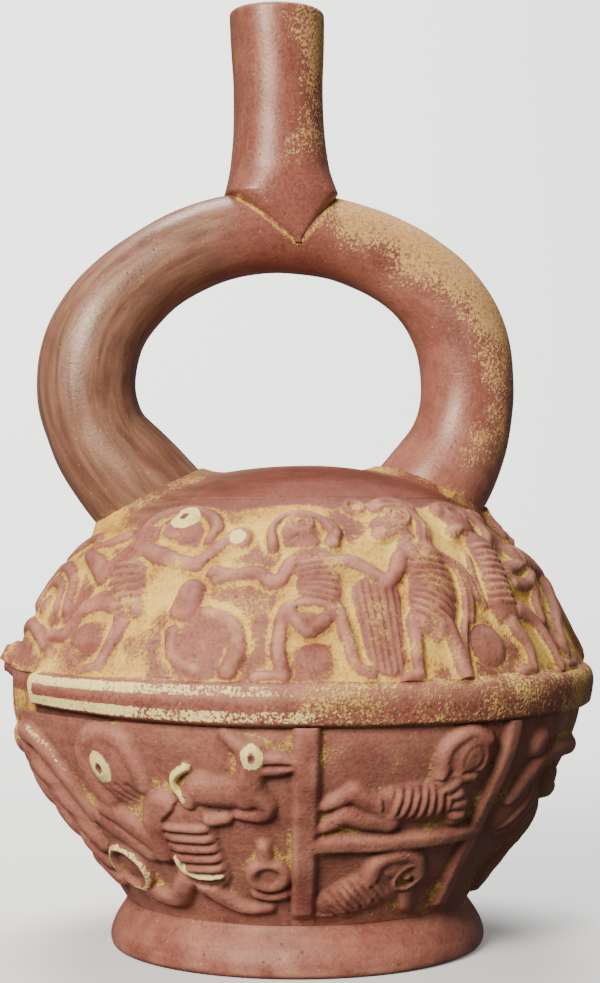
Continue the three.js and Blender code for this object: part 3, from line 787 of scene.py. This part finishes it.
def shoulder(half, columns, pitch):
    """One half of the figured shoulder, from the belt to where the plain crown begins."""
    azimuth, kept, run, relief = worked_half(shoulder_wall, half, columns, pitch, RELIEF_TOP,
                                             0.8, SHOULDER_FIGURES)
    height = softened(relief.height, 0.6, pitch) - softened(relief.crease, FOLD_SOFTENING, pitch)
    broad = softened(height, BROAD_FORM, pitch)
    wide = softened(height, 4.5, pitch)
    swelling = 0.45 * wide * smooth((RELIEF_TOP - run) / 14)[:, None]
    height = 0.86 * height + swelling
    broad = 0.86 * broad + swelling
    contour = edge_shade(height, pitch)
    ground = shoulder_wall.points(azimuth, run, np.zeros(height.shape))
    head = side_head(azimuth, shoulder_wall.section(run)[1])
    fade = smooth((RELIEF_TOP - 0.4 - run) / 3)[:, None]
    proud = np.maximum(height * fade * rubbed(ground, pitch), head)
    proud = proud + 0.45 * hand(ground) * smooth(run / 10)[:, None] + 0.1 * tool(ground)
    proud = proud + foot_fillet(ground)

    hollow = broad - height
    patches = patch(ground)
    top = smooth((RELIEF_TOP - 2.5 + 2.5 * patches - run[:, None]) / 5)
    open_ground = smooth(1.5 - height / 1.1) * top
    crusted = open_ground * mix(0.1, 0.78, smooth(0.5 + 1.3 * patches))
    crusted = crusted + smooth(hollow / 0.5) * 0.7
    crusted = crusted + 0.2 * smooth(0.3 + spot(ground)) + 0.15 * smooth((wide - height) / 0.8)
    crusted = crusted + 0.19 + 0.1 * patches
    right = smooth((azimuth[None] - 30) / 40) * (half == "front")
    cream = crusted * (1 - 0.9 * relief.bare) * mix(1, 0.7, right)
    cream = np.maximum(cream * np.maximum(top, 0.15), 0.5 * near_stirrup(ground))
    cream = np.maximum(cream, 0.75 * smooth((head - 0.3) / 1.5) * bump_at(head, 2.2, 3.0))
    layers = {"cream": cream, "paint": softened(relief.paint, 0.2, pitch),
              # The dark contour at the foot of each form is painted shade, stronger on the right;
              # the cuts add grooves and pupils.
              "dark": np.maximum(relief.dark, contour * mix(0.48, 0.58, right)),
              # Dirt darkens the right side; the darkening in the hollows is partly dirt and partly
              # painted shade.
              "dirt_and_shade": right_grime_and_shade(azimuth) + 0.55 * smooth(hollow / 0.7),
              "wear_and_highlight": (0.22 + 0.6 * smooth((height - broad) / 0.4)) * top,
              "smoke": crown_smoke(azimuth, run)}
    return closed_half(f"shoulder_{half}", shoulder_wall, azimuth, kept, run, proud, layers, 4)


def crown(columns, rings):
    """Plain burnished dome above the figures, shut by a pole on the axis."""
    azimuth = np.linspace(-180, 180, columns, endpoint=False)
    run = np.linspace(RELIEF_TOP, shoulder_wall.length - 0.8, rings)
    ground = shoulder_wall.points(azimuth, run, np.zeros((rings, columns)))
    proud = 0.45 * hand(ground) + 0.1 * tool(ground) + foot_fillet(ground)
    outside = shoulder_wall.points(azimuth, run, proud)[::-1]
    inside = inner_rows(shoulder_wall, azimuth, run[:: rings // 8])
    rows = np.vstack([outside, inside])
    patches = patch(ground)
    layers = {"cream": np.maximum(near_stirrup(ground) * mix(0.4, 1, smooth(0.5 + patches)),
                                  0.3 * smooth((RELIEF_TOP + 4 + 4 * patches - run[:, None]) / 7)),
              "smoke": crown_smoke(azimuth, run), "dirt_and_shade": right_grime_and_shade(azimuth)}
    layers = over_outside(layers, (rings, columns), inside, slice(None, None, -1))
    poles = np.array([[0, 0, outside[0, :, 2].mean()], [0, 0, inside[-1, :, 2].mean()]])
    return skin("crown", rows, layers, poles=poles, flat_rows=(rings - 1,))


def bowl(half, columns, pitch):
    """One half of the figured bowl, from the belt down to the foot."""
    azimuth, kept, run, relief = worked_half(bowl_wall, half, columns, pitch, bowl_wall.length,
                                             1.1, BOWL_FIGURES)
    for at, wide, tall, drift in RIBS:
        relief.pen(at, 1).roll([(0, -2), (0, 30), (drift * 0.4, 50), (drift, 69)],
                               (wide, wide * 0.85), tall, power=7, swell=0)
    for start, end in CROSS_RIBS:
        relief.pen(start, 1).roll([(0, 36.6), ((end - start) / 2, 36.2), (end - start, 35)],
                                  3.2, 2.9, power=5, swell=0)
    height = 0.9 * softened(relief.height, 0.55, pitch)
    height = height - softened(relief.crease, FOLD_SOFTENING, pitch)
    contour = edge_shade(height, pitch)
    ground = bowl_wall.points(azimuth, run, np.zeros(height.shape))
    broad = softened(height, BROAD_FORM, pitch)
    head = side_head(azimuth, bowl_wall.section(run)[1])
    fade = smooth((bowl_wall.length - 2 - run) / 5)[:, None]
    proud = np.maximum(height * fade * rubbed(ground, pitch), head)
    proud = proud + 0.4 * hand(ground) * fade + 0.12 * tool(ground) * fade

    hollow = broad - height
    patches = patch(ground)
    left = bump_at(azimuth[None], -88, 13) * smooth((13 - run[:, None]) / 5)
    right = smooth((azimuth[None] - 5) / 45) * (half == "front")
    cream = smooth((hollow - 0.1) / 0.7) * mix(0.28, 0.5, smooth(0.4 + patches))
    cream = cream + 0.27 * smooth(0.4 + patches) * smooth(1.6 - height) + 0.14 * right
    cream = np.maximum(cream, left * 0.9)
    layers = {"cream": cream, "paint": softened(relief.paint, 0.2, pitch),
              # The dark contour at the foot of each form is painted shade.
              "dark": np.maximum(relief.dark, 0.52 * contour),
              # The wall darkens towards its lower right; the darkening in the hollows is partly
              # dirt and partly painted shade.
              "dirt_and_shade": 0.75 * right * smooth((run[:, None] + 6) / 20) + 0.45 * smooth(hollow / 0.8),
              "wear_and_highlight": 0.3 + 0.3 * smooth((height - broad) / 0.5) + 0.15 * smooth(patches),
              "smoke": 0.14 * smooth(1.5 - height)}
    return closed_half(f"bowl_{half}", bowl_wall, azimuth, kept, run, proud, layers, 5)


def belt(columns):
    """Raised belt where bowl and shoulder meet; it stops at the side head."""
    azimuth = np.linspace(-180, 180, columns, endpoint=False)
    section = spline([(83.0, 70.6), (84.4, 71.7), (86.0, 72.0), (87.5, 72.7), (88.0, 74.2),
                      (88.5, 76.8), (88.7, 79.2), (88.3, 81.3), (87.3, 82.8), (85.6, 83.6),
                      (84.2, 84.4)], 64)[0]
    away = np.abs(wrap(azimuth - BELT_GAP["azimuth"]))
    share = smooth((away - BELT_GAP["half"]) / 3.5)
    radius, height = section[:, :1], section[:, 1:]
    thinned = 0.22 * bump_at(wrap(azimuth + 78)[None], 0, 62) * smooth((radius - 84.4) / 0.3)
    radius = mix(np.minimum(radius, 84.6), radius, share[None])
    height = BELT_EDGE - (BELT_EDGE - height) * (1 - thinned)
    base = turned(radius, height, azimuth)
    radius = radius + (0.4 * hand(base) + 0.12 * tool(base)) * smooth((radius - 83.8) / 0.6)
    radius = np.maximum(radius, HEAD_ROOT + side_head(azimuth, section[:, 1]))
    inside = turned(np.array([[79.5], [79.5]]), np.array([[83.5], [70.6]]), azimuth)
    rows = np.vstack([turned(radius, height, azimuth), inside])
    along = wrap(azimuth)[None]
    patches, spots = patch(base), spot(base)
    strap = smooth((along - STRAP_FROM) / 0.8)
    level = section[:, 1:]
    border = np.maximum(bump_at(level, UPPER_LINE, 2.4), bump_at(level, LOWER_LINE, 2.6))
    buckle = bump_at(along, STRAP_FROM + 2, 1.8) * (level > 72.6)
    white = smooth(1.8 * np.maximum(border, buckle)) * strap
    worn = 0.76 + 0.12 * patches + 0.1 * spots - 0.36 * smooth((along + 58) / 66)
    worn = worn - 0.4 * smooth((along + 8) / 26)
    dust = 0.34 + 0.08 * patches + 0.12 * spots + 0.16 * smooth((level - 78) / 5)
    dust = dust * smooth((along + 34) / 40)
    dust = np.maximum(dust, 0.7 * bump_at(level, 84.2, 1.6))
    dust = np.maximum(dust, 0.8 * bump_at(along, -72.6, 3))
    dust = np.maximum(dust, 0.75 * (1 - share)[None] * smooth((77.5 - level) / 3))
    layers = {"paint": white * worn, "cream": dust,
              "sand": (0.5 + 0.2 * patches) * smooth((along + 26) / 40),
              "wear_and_highlight": bump_at(level, 80.8, 4) * 0.6 * smooth((60 - along) / 50),
              # The dark band along the belt's underside is painted shadow under its overhang; the
              # right side darkens with grime.
              "dirt_and_shade": np.maximum(0.7 * bump_at(level, 71.8, 1.6), right_grime_and_shade(azimuth))}
    return skin("belt", rows, over_outside(layers, height.shape, inside))


def foot(columns):
    """Ring foot, recessed below, with the chamber's floor inside; a pole on each side."""
    azimuth = np.linspace(-180, 180, columns, endpoint=False)
    under = [(4, RECESS), (20, RECESS), (36, RECESS), (41, 9.4), (43.2, 8.6), (44.4, 6.6),
             (46.2, 2.6), (47.0, 0.6), (47.6, 0)]
    flare = spline([(54.0, 0.02), (55.1, 0.6), (55.8, 2.0), (55.7, 4.4), (54.6, 7.6),
                    (53.0, 10.4), (51.4, 12.8), (50.6, 14.6), (50.2, 16.4)], 34)[0]
    inner = [(47, 18.5), (42, 16), (34, 15.3), (18, FLOOR), (4, FLOOR)]
    tread = [(48.6, 0), (51, 0), (53.4, 0)]
    section = np.vstack([under, tread, flare, inner])
    radius, height = section[:, :1], section[:, 1:]
    base = turned(radius, height, azimuth)
    outer = smooth((radius - 50) / 2) * smooth((height - 0.2) / 1.5)
    radius = radius + (0.3 * hand(base) + 0.1 * tool(base)) * outer
    rows = turned(radius, height, azimuth)
    patches = patch(base)
    shape = np.ones(radius.shape)
    # The foot's right side is darkened and kept unworn as painted shade.
    layers = {"cream": 0.3 * smooth(patches - 0.1) * outer + 0.35 * (radius < 47) * shape,
              "wear_and_highlight": (0.35 + 0.15 * smooth(patches) + 0.35 * bump_at(height, 1.6, 1.8))
                      * outer * (1 - right_grime_and_shade(azimuth)),
              "dirt_and_shade": (bump_at(height, 15, 3) * 0.5 + 0.4 * (height < 0.3)
                       + 0.8 * right_grime_and_shade(azimuth) * outer) * shape}
    return skin("foot", rows, layers, poles=np.array([[0, 0, RECESS], [0, 0, FLOOR]]))


# ---- The stirrup and its spout --------------------------------------------------------------

def spout_axis(z):
    """The spout leans a little; the point of its wedge lies off its line, to the other side."""
    return -SPOUT_LEAN * z + TIP_SHIFT * np.clip((SPOUT["base_at"] - z) / 17, 0, 1)


def spout_section(z):
    """Half width and half depth of the spout at a height; below its base it is a wedge."""
    rim, waist, base = SPOUT["rim"], SPOUT["waist"], SPOUT["base"]
    upper = mix(waist, rim, smooth((z - SPOUT["waist_at"]) / (HEIGHT - SPOUT["waist_at"])))
    down = np.clip((SPOUT["waist_at"] - z) / (SPOUT["waist_at"] - SPOUT["base_at"]), 0, 1)
    middle = mix(waist, base, down ** 2.4)
    left = np.clip((z - SPOUT["tip_at"]) / (SPOUT["base_at"] - SPOUT["tip_at"]), 0, 1)
    wide = np.where(z >= SPOUT["waist_at"], upper, middle)
    deep = np.where(z >= SPOUT["waist_at"], upper, middle * mix(1, 0.83, down ** 2))
    low = z < SPOUT["base_at"]
    wide = np.where(low, np.maximum(base * left, 1.6), wide)
    drop = np.clip(213 - z, 0, STIRRUP_RADIUS["crown"])
    tube_depth = np.sqrt(STIRRUP_RADIUS["crown"] ** 2 - drop ** 2)
    deep = np.where(low, mix(tube_depth + 0.55, base * 0.83, smooth(left)), deep)
    return wide, deep


def stirrup_radius(share):
    """Slim at the crown, fuller down the sides, and fullest where the arms stand."""
    out = np.abs(share - 0.5) * 2
    upper = mix(STIRRUP_RADIUS["crown"], STIRRUP_RADIUS["arm"], smooth(out / 0.4))
    lower = mix(STIRRUP_RADIUS["side"], STIRRUP_RADIUS["foot"], smooth((out - 0.7) / 0.2))
    return mix(upper, lower, smooth((out - 0.3) / 0.3))


def tube(count, sides, wall):
    """Grid of a tube along the stirrup's line: centre plus radius turned round the line."""
    line = spline(STIRRUP_LINE, count)[0]
    tangent = np.gradient(line, axis=0)
    tangent /= np.linalg.norm(tangent, axis=1)[:, None]
    share = np.linspace(0, 1, count)
    angle = np.linspace(0, 2 * np.pi, sides, endpoint=False)
    radius = (stirrup_radius(share) - wall)[:, None]
    across = radius * np.cos(angle)
    points = np.stack([line[:, :1] + tangent[:, 1:] * across,
                       radius * np.sin(angle),
                       line[:, 1:] - tangent[:, :1] * across], -1)
    normal = np.stack([tangent[:, 1:] * np.cos(angle), np.ones((count, 1)) * np.sin(angle),
                       -tangent[:, :1] * np.cos(angle)], -1)
    return points, normal, share, angle


def seam_distance(points):
    """Distance outside the V where the spout's wedge dies into the front and back of the loop."""
    x, z = points[..., 0], points[..., 2]
    left = np.clip((z - SPOUT["tip_at"]) / (SPOUT["base_at"] - SPOUT["tip_at"]), 0, 1)
    return (np.abs(x - spout_axis(z)) - SPOUT["base"] * left) * 0.7


def stirrup(count, sides):
    """Looped handle of two hollow arms, its outer and inner skins joined inside the crown."""
    points, normal, share, angle = tube(count, sides, 0)
    uneven = 0.35 * hand(points) + 0.1 * tool(points)
    outside = points + normal * uneven[..., None]
    inside = tube(count // 4, sides, STIRRUP_WALL)[0][::-1]
    rows = np.vstack([outside, inside])
    pierced = (np.hypot(rows[..., 0] - spout_axis(215), rows[..., 1]) < 9) & (rows[..., 2] > 206)
    rows[..., 2] = np.where(pierced, 206.5, rows[..., 2])

    x, y, z = points[..., 0], points[..., 1], points[..., 2]
    patches, spots = patch(points), spot(points)
    outward = -np.cos(angle)[None] * np.ones(share.shape)[:, None]
    dome = shoulder_height(np.hypot(x, y))
    footing = z - dome
    seam = seam_distance(points)
    near_crown = (np.abs(x - spout_axis(214)) < 17) & (z > SPOUT["tip_at"] - 0.6)
    cream = 0.9 * bump_at(footing, 1.0, 2.6) * smooth(0.8 + patches)
    cream = np.maximum(cream, 0.85 * bump_at(seam, 0.4, 1.5) * near_crown * (z < 224))
    cream = np.maximum(cream, 0.6 * smooth((9 - footing) / 9) * smooth(0.4 + patches))
    right = smooth((x - 2) / 14)
    sand = right * smooth((outward + 0.75 + 0.3 * patches) / 1.2)
    sand = sand * mix(0.42, 1, smooth((z - 166) / 26)) * smooth((z - 134) / 16)
    left = smooth((-10 - x) / 24)
    smoke = left * mix(0.8, 1, smooth(0.5 + patches))
    layers = {"cream": cream, "sand": sand, "smoke": smoke,
              # The lighter wear over the right arm is a painted highlight; the spotted wear on the
              # loop's outer side is real.
              "wear_and_highlight": 0.4 * smooth(spots) * smooth(outward)
                      + 0.4 * right * mix(0.6, 1, smooth(patches)),
              "dirt_and_shade": 0.25 * smooth(patch(points * 1.4 + 40))}
    return skin("stirrup", rows, over_outside(layers, x.shape, inside))


def shoulder_height(radius):
    """Height of the shoulder's ground at a distance from the axis."""
    curve = shoulder_wall.curve[::-1]
    return np.interp(radius, curve[:, 0], curve[:, 1])


def spout(sides):
    """Upright spout: outer skin, rounded lip and bore, with the wedge at its base."""
    heights = np.r_[np.linspace(208.2, 226, 38), np.linspace(226.6, 278.4, 60)]
    angle = np.linspace(0, 2 * np.pi, sides, endpoint=False)
    wide, deep = spout_section(heights)
    lip = np.linspace(0, 1, 9)[1:]
    turn = lip * math.pi / 2
    rim = SPOUT["rim"]
    lip_wide = rim - LIP_ROUND + LIP_ROUND * np.cos(turn)
    lip_high = HEIGHT - LIP_ROUND + LIP_ROUND * np.sin(turn)
    bore = rim - SPOUT_WALL
    bore_high = np.r_[HEIGHT - 0.5 + 0.5 * np.sin(np.linspace(math.pi / 2, 0, 4)),
                      np.linspace(HEIGHT - 4, 214, 16)]
    bore_wide = np.r_[bore + 0.5 - 0.5 * np.cos(np.linspace(math.pi / 2, 0, 4)),
                      spout_section(np.maximum(bore_high[4:], SPOUT["base_at"] + 8))[0]
                      - SPOUT_WALL]
    all_wide = np.r_[wide, lip_wide, bore_wide][:, None]
    all_deep = np.r_[deep, lip_wide, bore_wide][:, None]
    all_high = np.r_[heights, lip_high, bore_high][:, None] + 0 * angle[None]
    square = np.r_[mix(2, 5, smooth((SPOUT["base_at"] + 9 - heights) / 20)),
                   2 * np.ones(len(lip) + len(bore_high))][:, None]
    across = np.sign(np.cos(angle)) * np.abs(np.cos(angle)) ** (2 / square)
    inward = np.sign(np.sin(angle)) * np.abs(np.sin(angle)) ** (2 / square)
    skin_share = np.r_[np.ones(len(heights) + len(lip)), 0.3 * np.ones(len(bore_high))][:, None]
    base = np.stack([spout_axis(all_high) + all_wide * across, all_deep * inward, all_high], -1)
    uneven = 1 + (0.018 * hand(base) + 0.006 * tool(base)) * skin_share
    rows = np.stack([spout_axis(all_high) + all_wide * uneven * across,
                     all_deep * uneven * inward, all_high], -1)
    rows[..., 2] -= 0.35 * (1 + hand(base * 1.6)) * smooth((all_high - 272) / 7)
    x = across * np.ones(all_high.shape)
    patches, spots = patch(base), spot(base)
    low = all_high < 223
    outer = skin_share > 0.5
    cream = 0.6 * smooth((np.abs(x) - 0.86) / 0.1) * low
    cream = np.maximum(cream, 0.5 * bump_at(all_high, 278.6, 3) * smooth(spots + 0.2))
    sand = smooth((x + 0.3 + 0.4 * patches) / 1.1) * smooth((all_high - 226) / 14)
    sand = sand * mix(0.42, 0.72, smooth((all_high - 240) / 25))
    lip_dirt = 0.4 * smooth(spots) * smooth((all_high - 262) / 10)
    # The darkening of the spout's left side is painted shade.
    left_side_shade = 0.5 * smooth((-x - 0.45) / 0.6)
    layers = {"cream": cream * outer, "sand": sand * outer * 0.9,
              # The smoke on the spout's left side is partly fire cloud and partly painted shade.
              "smoke": 0.25 * smooth(-x - 0.2) * outer,
              "dirt_and_shade": np.where(outer, np.maximum(lip_dirt, left_side_shade), 0.8),
              "wear_and_highlight": 0.5 * bump_at(all_high, 279.5, 2) * outer}
    return skin("spout", rows, layers)


# ---- Finish ---------------------------------------------------------------------------------

def linear(red, green, blue):
    """A colour given by its 0-255 sRGB values, as the linear one a shader takes."""
    share = np.array([red, green, blue]) / 255
    value = np.where(share <= 0.04045, share / 12.92, ((share + 0.055) / 1.055) ** 2.4)
    return (*(float(v) for v in value), 1.0)


TONES = {
    "slip_low": linear(118, 61, 51), "slip_high": linear(144, 81, 68),
    "slip_thin": linear(160, 97, 79), "stroke": linear(170, 110, 92),
    "grain": linear(90, 49, 40), "worn": linear(204, 142, 118), "smoke_low": linear(98, 66, 52),
    "smoke_high": linear(150, 112, 86), "smoke_thin": linear(150, 98, 80),
    "dirt_and_shade": linear(92, 66, 44), "sand_low": linear(176, 128, 76),
    "sand_high": linear(214, 172, 106), "cream_low": linear(214, 158, 60),
    "cream_high": linear(238, 200, 98), "cream_grain": linear(190, 130, 66),
    "paint_low": linear(226, 200, 120), "paint_high": linear(248, 230, 158),
    "fleck": linear(70, 44, 32), "pale_fleck": linear(214, 184, 138), "pit_and_shade": linear(52, 32, 24),
}


class Wire:
    """An output socket in a node tree. Arithmetic on it makes Math nodes."""

    def __init__(self, tree, socket=None):
        self.tree, self.socket = tree, socket

    def node(self, kind, settings=(), inputs=(), output=0):
        """A new node of any kind: its settings first, then its inputs. Returns one output."""
        made = self.tree.nodes.new(kind)
        for name, value in dict(settings).items():
            setattr(made, name, value)
        for name, value in dict(inputs).items():
            if isinstance(value, Wire):
                self.tree.links.new(value.socket, made.inputs[name])
            else:
                made.inputs[name].default_value = value
        return Wire(self.tree, made.outputs[output])

    def maths(self, operation, *values, clamp=False):
        return self.node("ShaderNodeMath", {"operation": operation, "use_clamp": clamp},
                         enumerate(values))

    def __add__(self, other):
        return self.maths("ADD", self, other)

    def __radd__(self, other):
        return self.maths("ADD", other, self)

    def __sub__(self, other):
        return self.maths("SUBTRACT", self, other)

    def __rsub__(self, other):
        return self.maths("SUBTRACT", other, self)

    def __mul__(self, other):
        return self.maths("MULTIPLY", self, other)

    def __rmul__(self, other):
        return self.maths("MULTIPLY", other, self)

    def clamped(self):
        return self.maths("ADD", self, 0.0, clamp=True)

    def between(self, low, high):
        """0 at low, 1 at high, in a smooth S."""
        return self.node("ShaderNodeMapRange", {"interpolation_type": "SMOOTHSTEP"},
                         {"Value": self, "From Min": low, "From Max": high})

    def blend(self, first, second):
        """Between two colours by this share."""
        return self.node("ShaderNodeMix", {"data_type": "RGBA"}, {0: self, 6: first, 7: second},
                         output=2)

    def scaled(self, by):
        """A vector multiplied by another."""
        return self.node("ShaderNodeVectorMath", {"operation": "MULTIPLY"}, {0: self, 1: by})

    def noise(self, scale, detail=3.0, rough=0.55, twist=0.0):
        """Fractal noise at this place, about 0.5 on average."""
        return self.node("ShaderNodeTexNoise", (), {"Vector": self, "Scale": scale,
                         "Detail": detail, "Roughness": rough, "Distortion": twist})

    def cells(self, scale, spread=1.0):
        """Distance to the nearest of scattered points, about 0.5 between them."""
        return self.node("ShaderNodeTexVoronoi", (), {"Vector": self, "Scale": scale,
                         "Randomness": spread})


def fired_clay(name, streak=None, gloss=0.36, tooth=0.14, ior=1.5):
    """Burnished red slip with cream deposit, white paint, smoke, sand, grime and painted shade
    over it.

    Burnishing marks run level round the vessel, or along the piece's own chart scaled by
    streak. gloss is the roughness of clean slip, and tooth how far its grain stands out.
    """
    material = bpy.data.materials.new(name)
    material.use_nodes = True
    tree = material.node_tree
    tree.nodes.clear()
    start = Wire(tree)
    place = start.node("ShaderNodeTexCoord", output="Object")
    chart = start.node("ShaderNodeUVMap", {"uv_map": "wrap"})
    cream, paint, dark, smoke, sand, dirt_and_shade, wear_and_highlight = (
        start.node("ShaderNodeAttribute", {"attribute_name": layer}, output="Fac")
        for layer in LAYERS)

    clouds = place.noise(22, 4, 0.6)
    mottle = place.noise(95, 5, 0.62)
    grain = place.noise(900, 4, 0.65)
    speck = place.noise(2300, 2, 0.5)
    along = chart.scaled((*streak, 1)) if streak else place.scaled((45, 45, 420))
    strokes = along.noise(1, 5, 0.6, 0.4)
    clump = place.noise(1150, 3, 0.6)
    pits = 1 - place.cells(330).between(0.08, 0.22)
    pitted = pits * place.noise(160, 2).between(0.52, 0.6)

    slip = clouds.between(0.3, 0.7).blend(TONES["slip_low"], TONES["slip_high"])
    slip = (mottle.between(0.35, 0.75) * 0.55).blend(slip, TONES["slip_thin"])
    slip = (strokes.between(0.45, 0.72) * 0.3).blend(slip, TONES["stroke"])
    slip = ((1 - grain.between(0.34, 0.56)) * (0.35 + tooth)).blend(slip, TONES["grain"])

    # Lighter where rubbed; on the right arm this is a painted highlight.
    worn = (wear_and_highlight * 1.1 * mottle.between(0.2, 0.7)).clamped()
    colour = (worn * 0.75).blend(slip, TONES["worn"])

    cloudy = (smoke * 1.3 * (clouds.between(0.25, 0.6) * 0.5 + 0.5)).clamped()
    smoky = strokes.between(0.3, 0.75).blend(TONES["smoke_low"], TONES["smoke_high"])
    smoky = (mottle.between(0.4, 0.7) * 0.4).blend(smoky, TONES["smoke_thin"])
    colour = (cloudy * 0.88).blend(colour, smoky)

    # Dirt, and painted shade in the hollows, under the belt and on the shaded sides.
    grime_and_shade = (dirt_and_shade * mottle.between(0.25, 0.65)).clamped()
    colour = (grime_and_shade * 0.7).blend(colour, TONES["dirt_and_shade"])

    dusted = (sand * 1.3 + (clump - 0.5) * 3.2 + (mottle - 0.5) * 1.8 - 0.42).between(0.0, 0.45)
    dusted = dusted * sand.between(0.02, 0.25)
    sandy = clump.between(0.35, 0.7).blend(TONES["sand_low"], TONES["sand_high"])
    colour = (dusted * 0.88).blend(colour, sandy)

    crust = (cream * 1.5 + (clump - 0.5) * 2.0 + (mottle - 0.5) * 1.8 - 0.5).between(0.0, 0.95)
    crust = crust * cream.between(0.02, 0.2)
    creamy = mottle.between(0.3, 0.7).blend(TONES["cream_low"], TONES["cream_high"])
    creamy = ((1 - clump.between(0.32, 0.55)) * 0.5).blend(creamy, TONES["cream_grain"])
    colour = (crust * 0.92).blend(colour, creamy)

    white = (paint * 1.9 + (clump - 0.5) * 2.6 - 0.95).between(0.0, 0.3)
    white = white * paint.between(0.05, 0.4)
    colour = (white * 0.95).blend(colour, grain.between(0.3, 0.7).blend(
        TONES["paint_low"], TONES["paint_high"]))

    flecks = speck.between(0.68, 0.75) * 0.5
    colour = flecks.blend(colour, TONES["fleck"])
    pale = place.noise(1200, 2, 0.5).between(0.69, 0.76) * 0.5
    colour = pale.blend(colour, TONES["pale_fleck"])
    # Darker in pits, cut grooves and pupils, and painted shade at the foot of each form.
    sunk_and_shaded = (dark + pitted * 0.5).clamped()
    colour = (sunk_and_shaded * 0.85).blend(colour, TONES["pit_and_shade"])

    rough = gloss + strokes.between(0.3, 0.7) * 0.1 + grain.between(0.3, 0.8) * 0.08
    matt = (crust + dusted * 0.9 + white * 0.7 + grime_and_shade * 0.3 + sunk_and_shaded).clamped()
    rough = rough + matt * (0.86 - rough)

    relief = grain * tooth + speck * 0.04 + strokes * 0.08 + crust * (0.12 + clump * 0.35)
    relief = relief + white * 0.08 + dusted * (0.05 + clump * 0.2) - sunk_and_shaded * 0.3
    bump = relief.node("ShaderNodeBump", (), {"Strength": 1.0, "Distance": 0.0007,
                                              "Height": relief})
    surface = colour.node("ShaderNodeBsdfPrincipled", (), {
        "Base Color": colour, "Roughness": rough, "Normal": bump, "IOR": ior,
        "Specular Tint": linear(255, 236, 216)})
    output = tree.nodes.new("ShaderNodeOutputMaterial")
    tree.links.new(surface.socket, output.inputs["Surface"])
    return material


CHAMBER_CLAY = fired_clay("clay_chamber", gloss=0.55, tooth=0.34)
CROWN_CLAY = fired_clay("clay_crown", gloss=0.5, tooth=0.2, ior=1.35)
FOOT_CLAY = fired_clay("clay_foot", gloss=0.42, tooth=0.22)
ARM_CLAY = fired_clay("clay_arms", (34, 16), gloss=0.3, ior=1.6)
SPOUT_CLAY = fired_clay("clay_spout", (30, 10), gloss=0.3, ior=1.6)

for half, fineness in (("front", 1.0), ("back", 0.72)):
    shoulder(half, int(676 * fineness), 0.45 / fineness).data.materials.append(CHAMBER_CLAY)
    bowl(half, int(612 * fineness), 0.47 / fineness).data.materials.append(CHAMBER_CLAY)
crown(360, 56).data.materials.append(CROWN_CLAY)
belt(900).data.materials.append(CHAMBER_CLAY)
foot(400).data.materials.append(FOOT_CLAY)
stirrup(260, 88).data.materials.append(ARM_CLAY)
spout(112).data.materials.append(SPOUT_CLAY)


# ---- Floor, light and camera ----------------------------------------------------------------

def sweep():
    """Pale paper: a floor that curves up into a wall behind the vessel."""
    turn = np.linspace(0, math.pi / 2, 24)
    profile = np.vstack([[-9.0, 0.0], np.stack([1.2 + 0.9 * np.sin(turn),
                                                0.9 - 0.9 * np.cos(turn)], 1), [2.1, 4.0]])
    sides = np.array([-9.0, 9.0])
    points = np.stack(np.broadcast_arrays(sides[None], profile[:, :1], profile[:, 1:]), -1)
    j = np.arange(len(profile) - 1) * 2
    mesh = bpy.data.meshes.new("sweep")
    mesh.from_pydata(points.reshape(-1, 3).tolist(), [],
                     np.stack([j, j + 1, j + 3, j + 2], 1).tolist())
    mesh.shade_smooth()
    paper = bpy.data.materials.new("paper")
    paper.use_nodes = True
    shader = paper.node_tree.nodes["Principled BSDF"]
    shader.inputs["Base Color"].default_value = linear(240, 239, 237)
    shader.inputs["Roughness"].default_value = 0.9
    shader.inputs["Emission Color"].default_value = linear(240, 239, 237)
    shader.inputs["Emission Strength"].default_value = 0.2
    mesh.materials.append(paper)
    floor = bpy.data.objects.new("sweep", mesh)
    bpy.context.scene.collection.objects.link(floor)
    floor.visible_diffuse = floor.visible_glossy = False


def softbox(name, place, aim, size, watts, tint=(1, 1, 1)):
    """A square area light at a place, facing another."""
    light = bpy.data.lights.new(name, "AREA")
    light.shape, light.size, light.energy, light.color = "SQUARE", size, watts, tint
    box = bpy.data.objects.new(name, light)
    box.location = place
    box.rotation_euler = (Vector(aim) - Vector(place)).to_track_quat("-Z", "Y").to_euler()
    bpy.context.scene.collection.objects.link(box)


sweep()
softbox("key", (-0.9, -1.26, 0.84), (0, 0, 0.14), 0.6, 60, (1, 0.95, 0.88))
softbox("fill", (1.1, -0.9, 0.35), (0, 0, 0.12), 0.9, 0.8)
softbox("top", (-0.1, 0.1, 1.3), (0, 0, 0.15), 0.6, 1.2)
softbox("wall", (0, 0.7, 1.9), (0, 2.1, 0.6), 1.2, 120)

world = bpy.data.worlds.new("studio")
world.use_nodes = True
world.node_tree.nodes["Background"].inputs["Color"].default_value = linear(236, 236, 240)
world.node_tree.nodes["Background"].inputs["Strength"].default_value = 0.17
bpy.context.scene.world = world

VIEW_AZIMUTH = -10 * RADIAN
VIEW_DISTANCE, VIEW_HEIGHT = 0.598, 0.123
AIM_RIGHT, AIM_HEIGHT = 0.0009, 0.1346
lens = bpy.data.cameras.new("camera")
lens.lens, lens.sensor_width, lens.clip_start = 72.5, 36, 0.02
camera = bpy.data.objects.new("camera", lens)
camera.location = (VIEW_DISTANCE * math.sin(VIEW_AZIMUTH), -VIEW_DISTANCE * math.cos(VIEW_AZIMUTH),
                   VIEW_HEIGHT)
aim = Vector((AIM_RIGHT * math.cos(VIEW_AZIMUTH), AIM_RIGHT * math.sin(VIEW_AZIMUTH), AIM_HEIGHT))
camera.rotation_euler = (aim - camera.location).to_track_quat("-Z", "Y").to_euler()
bpy.context.scene.collection.objects.link(camera)
bpy.context.scene.camera = camera
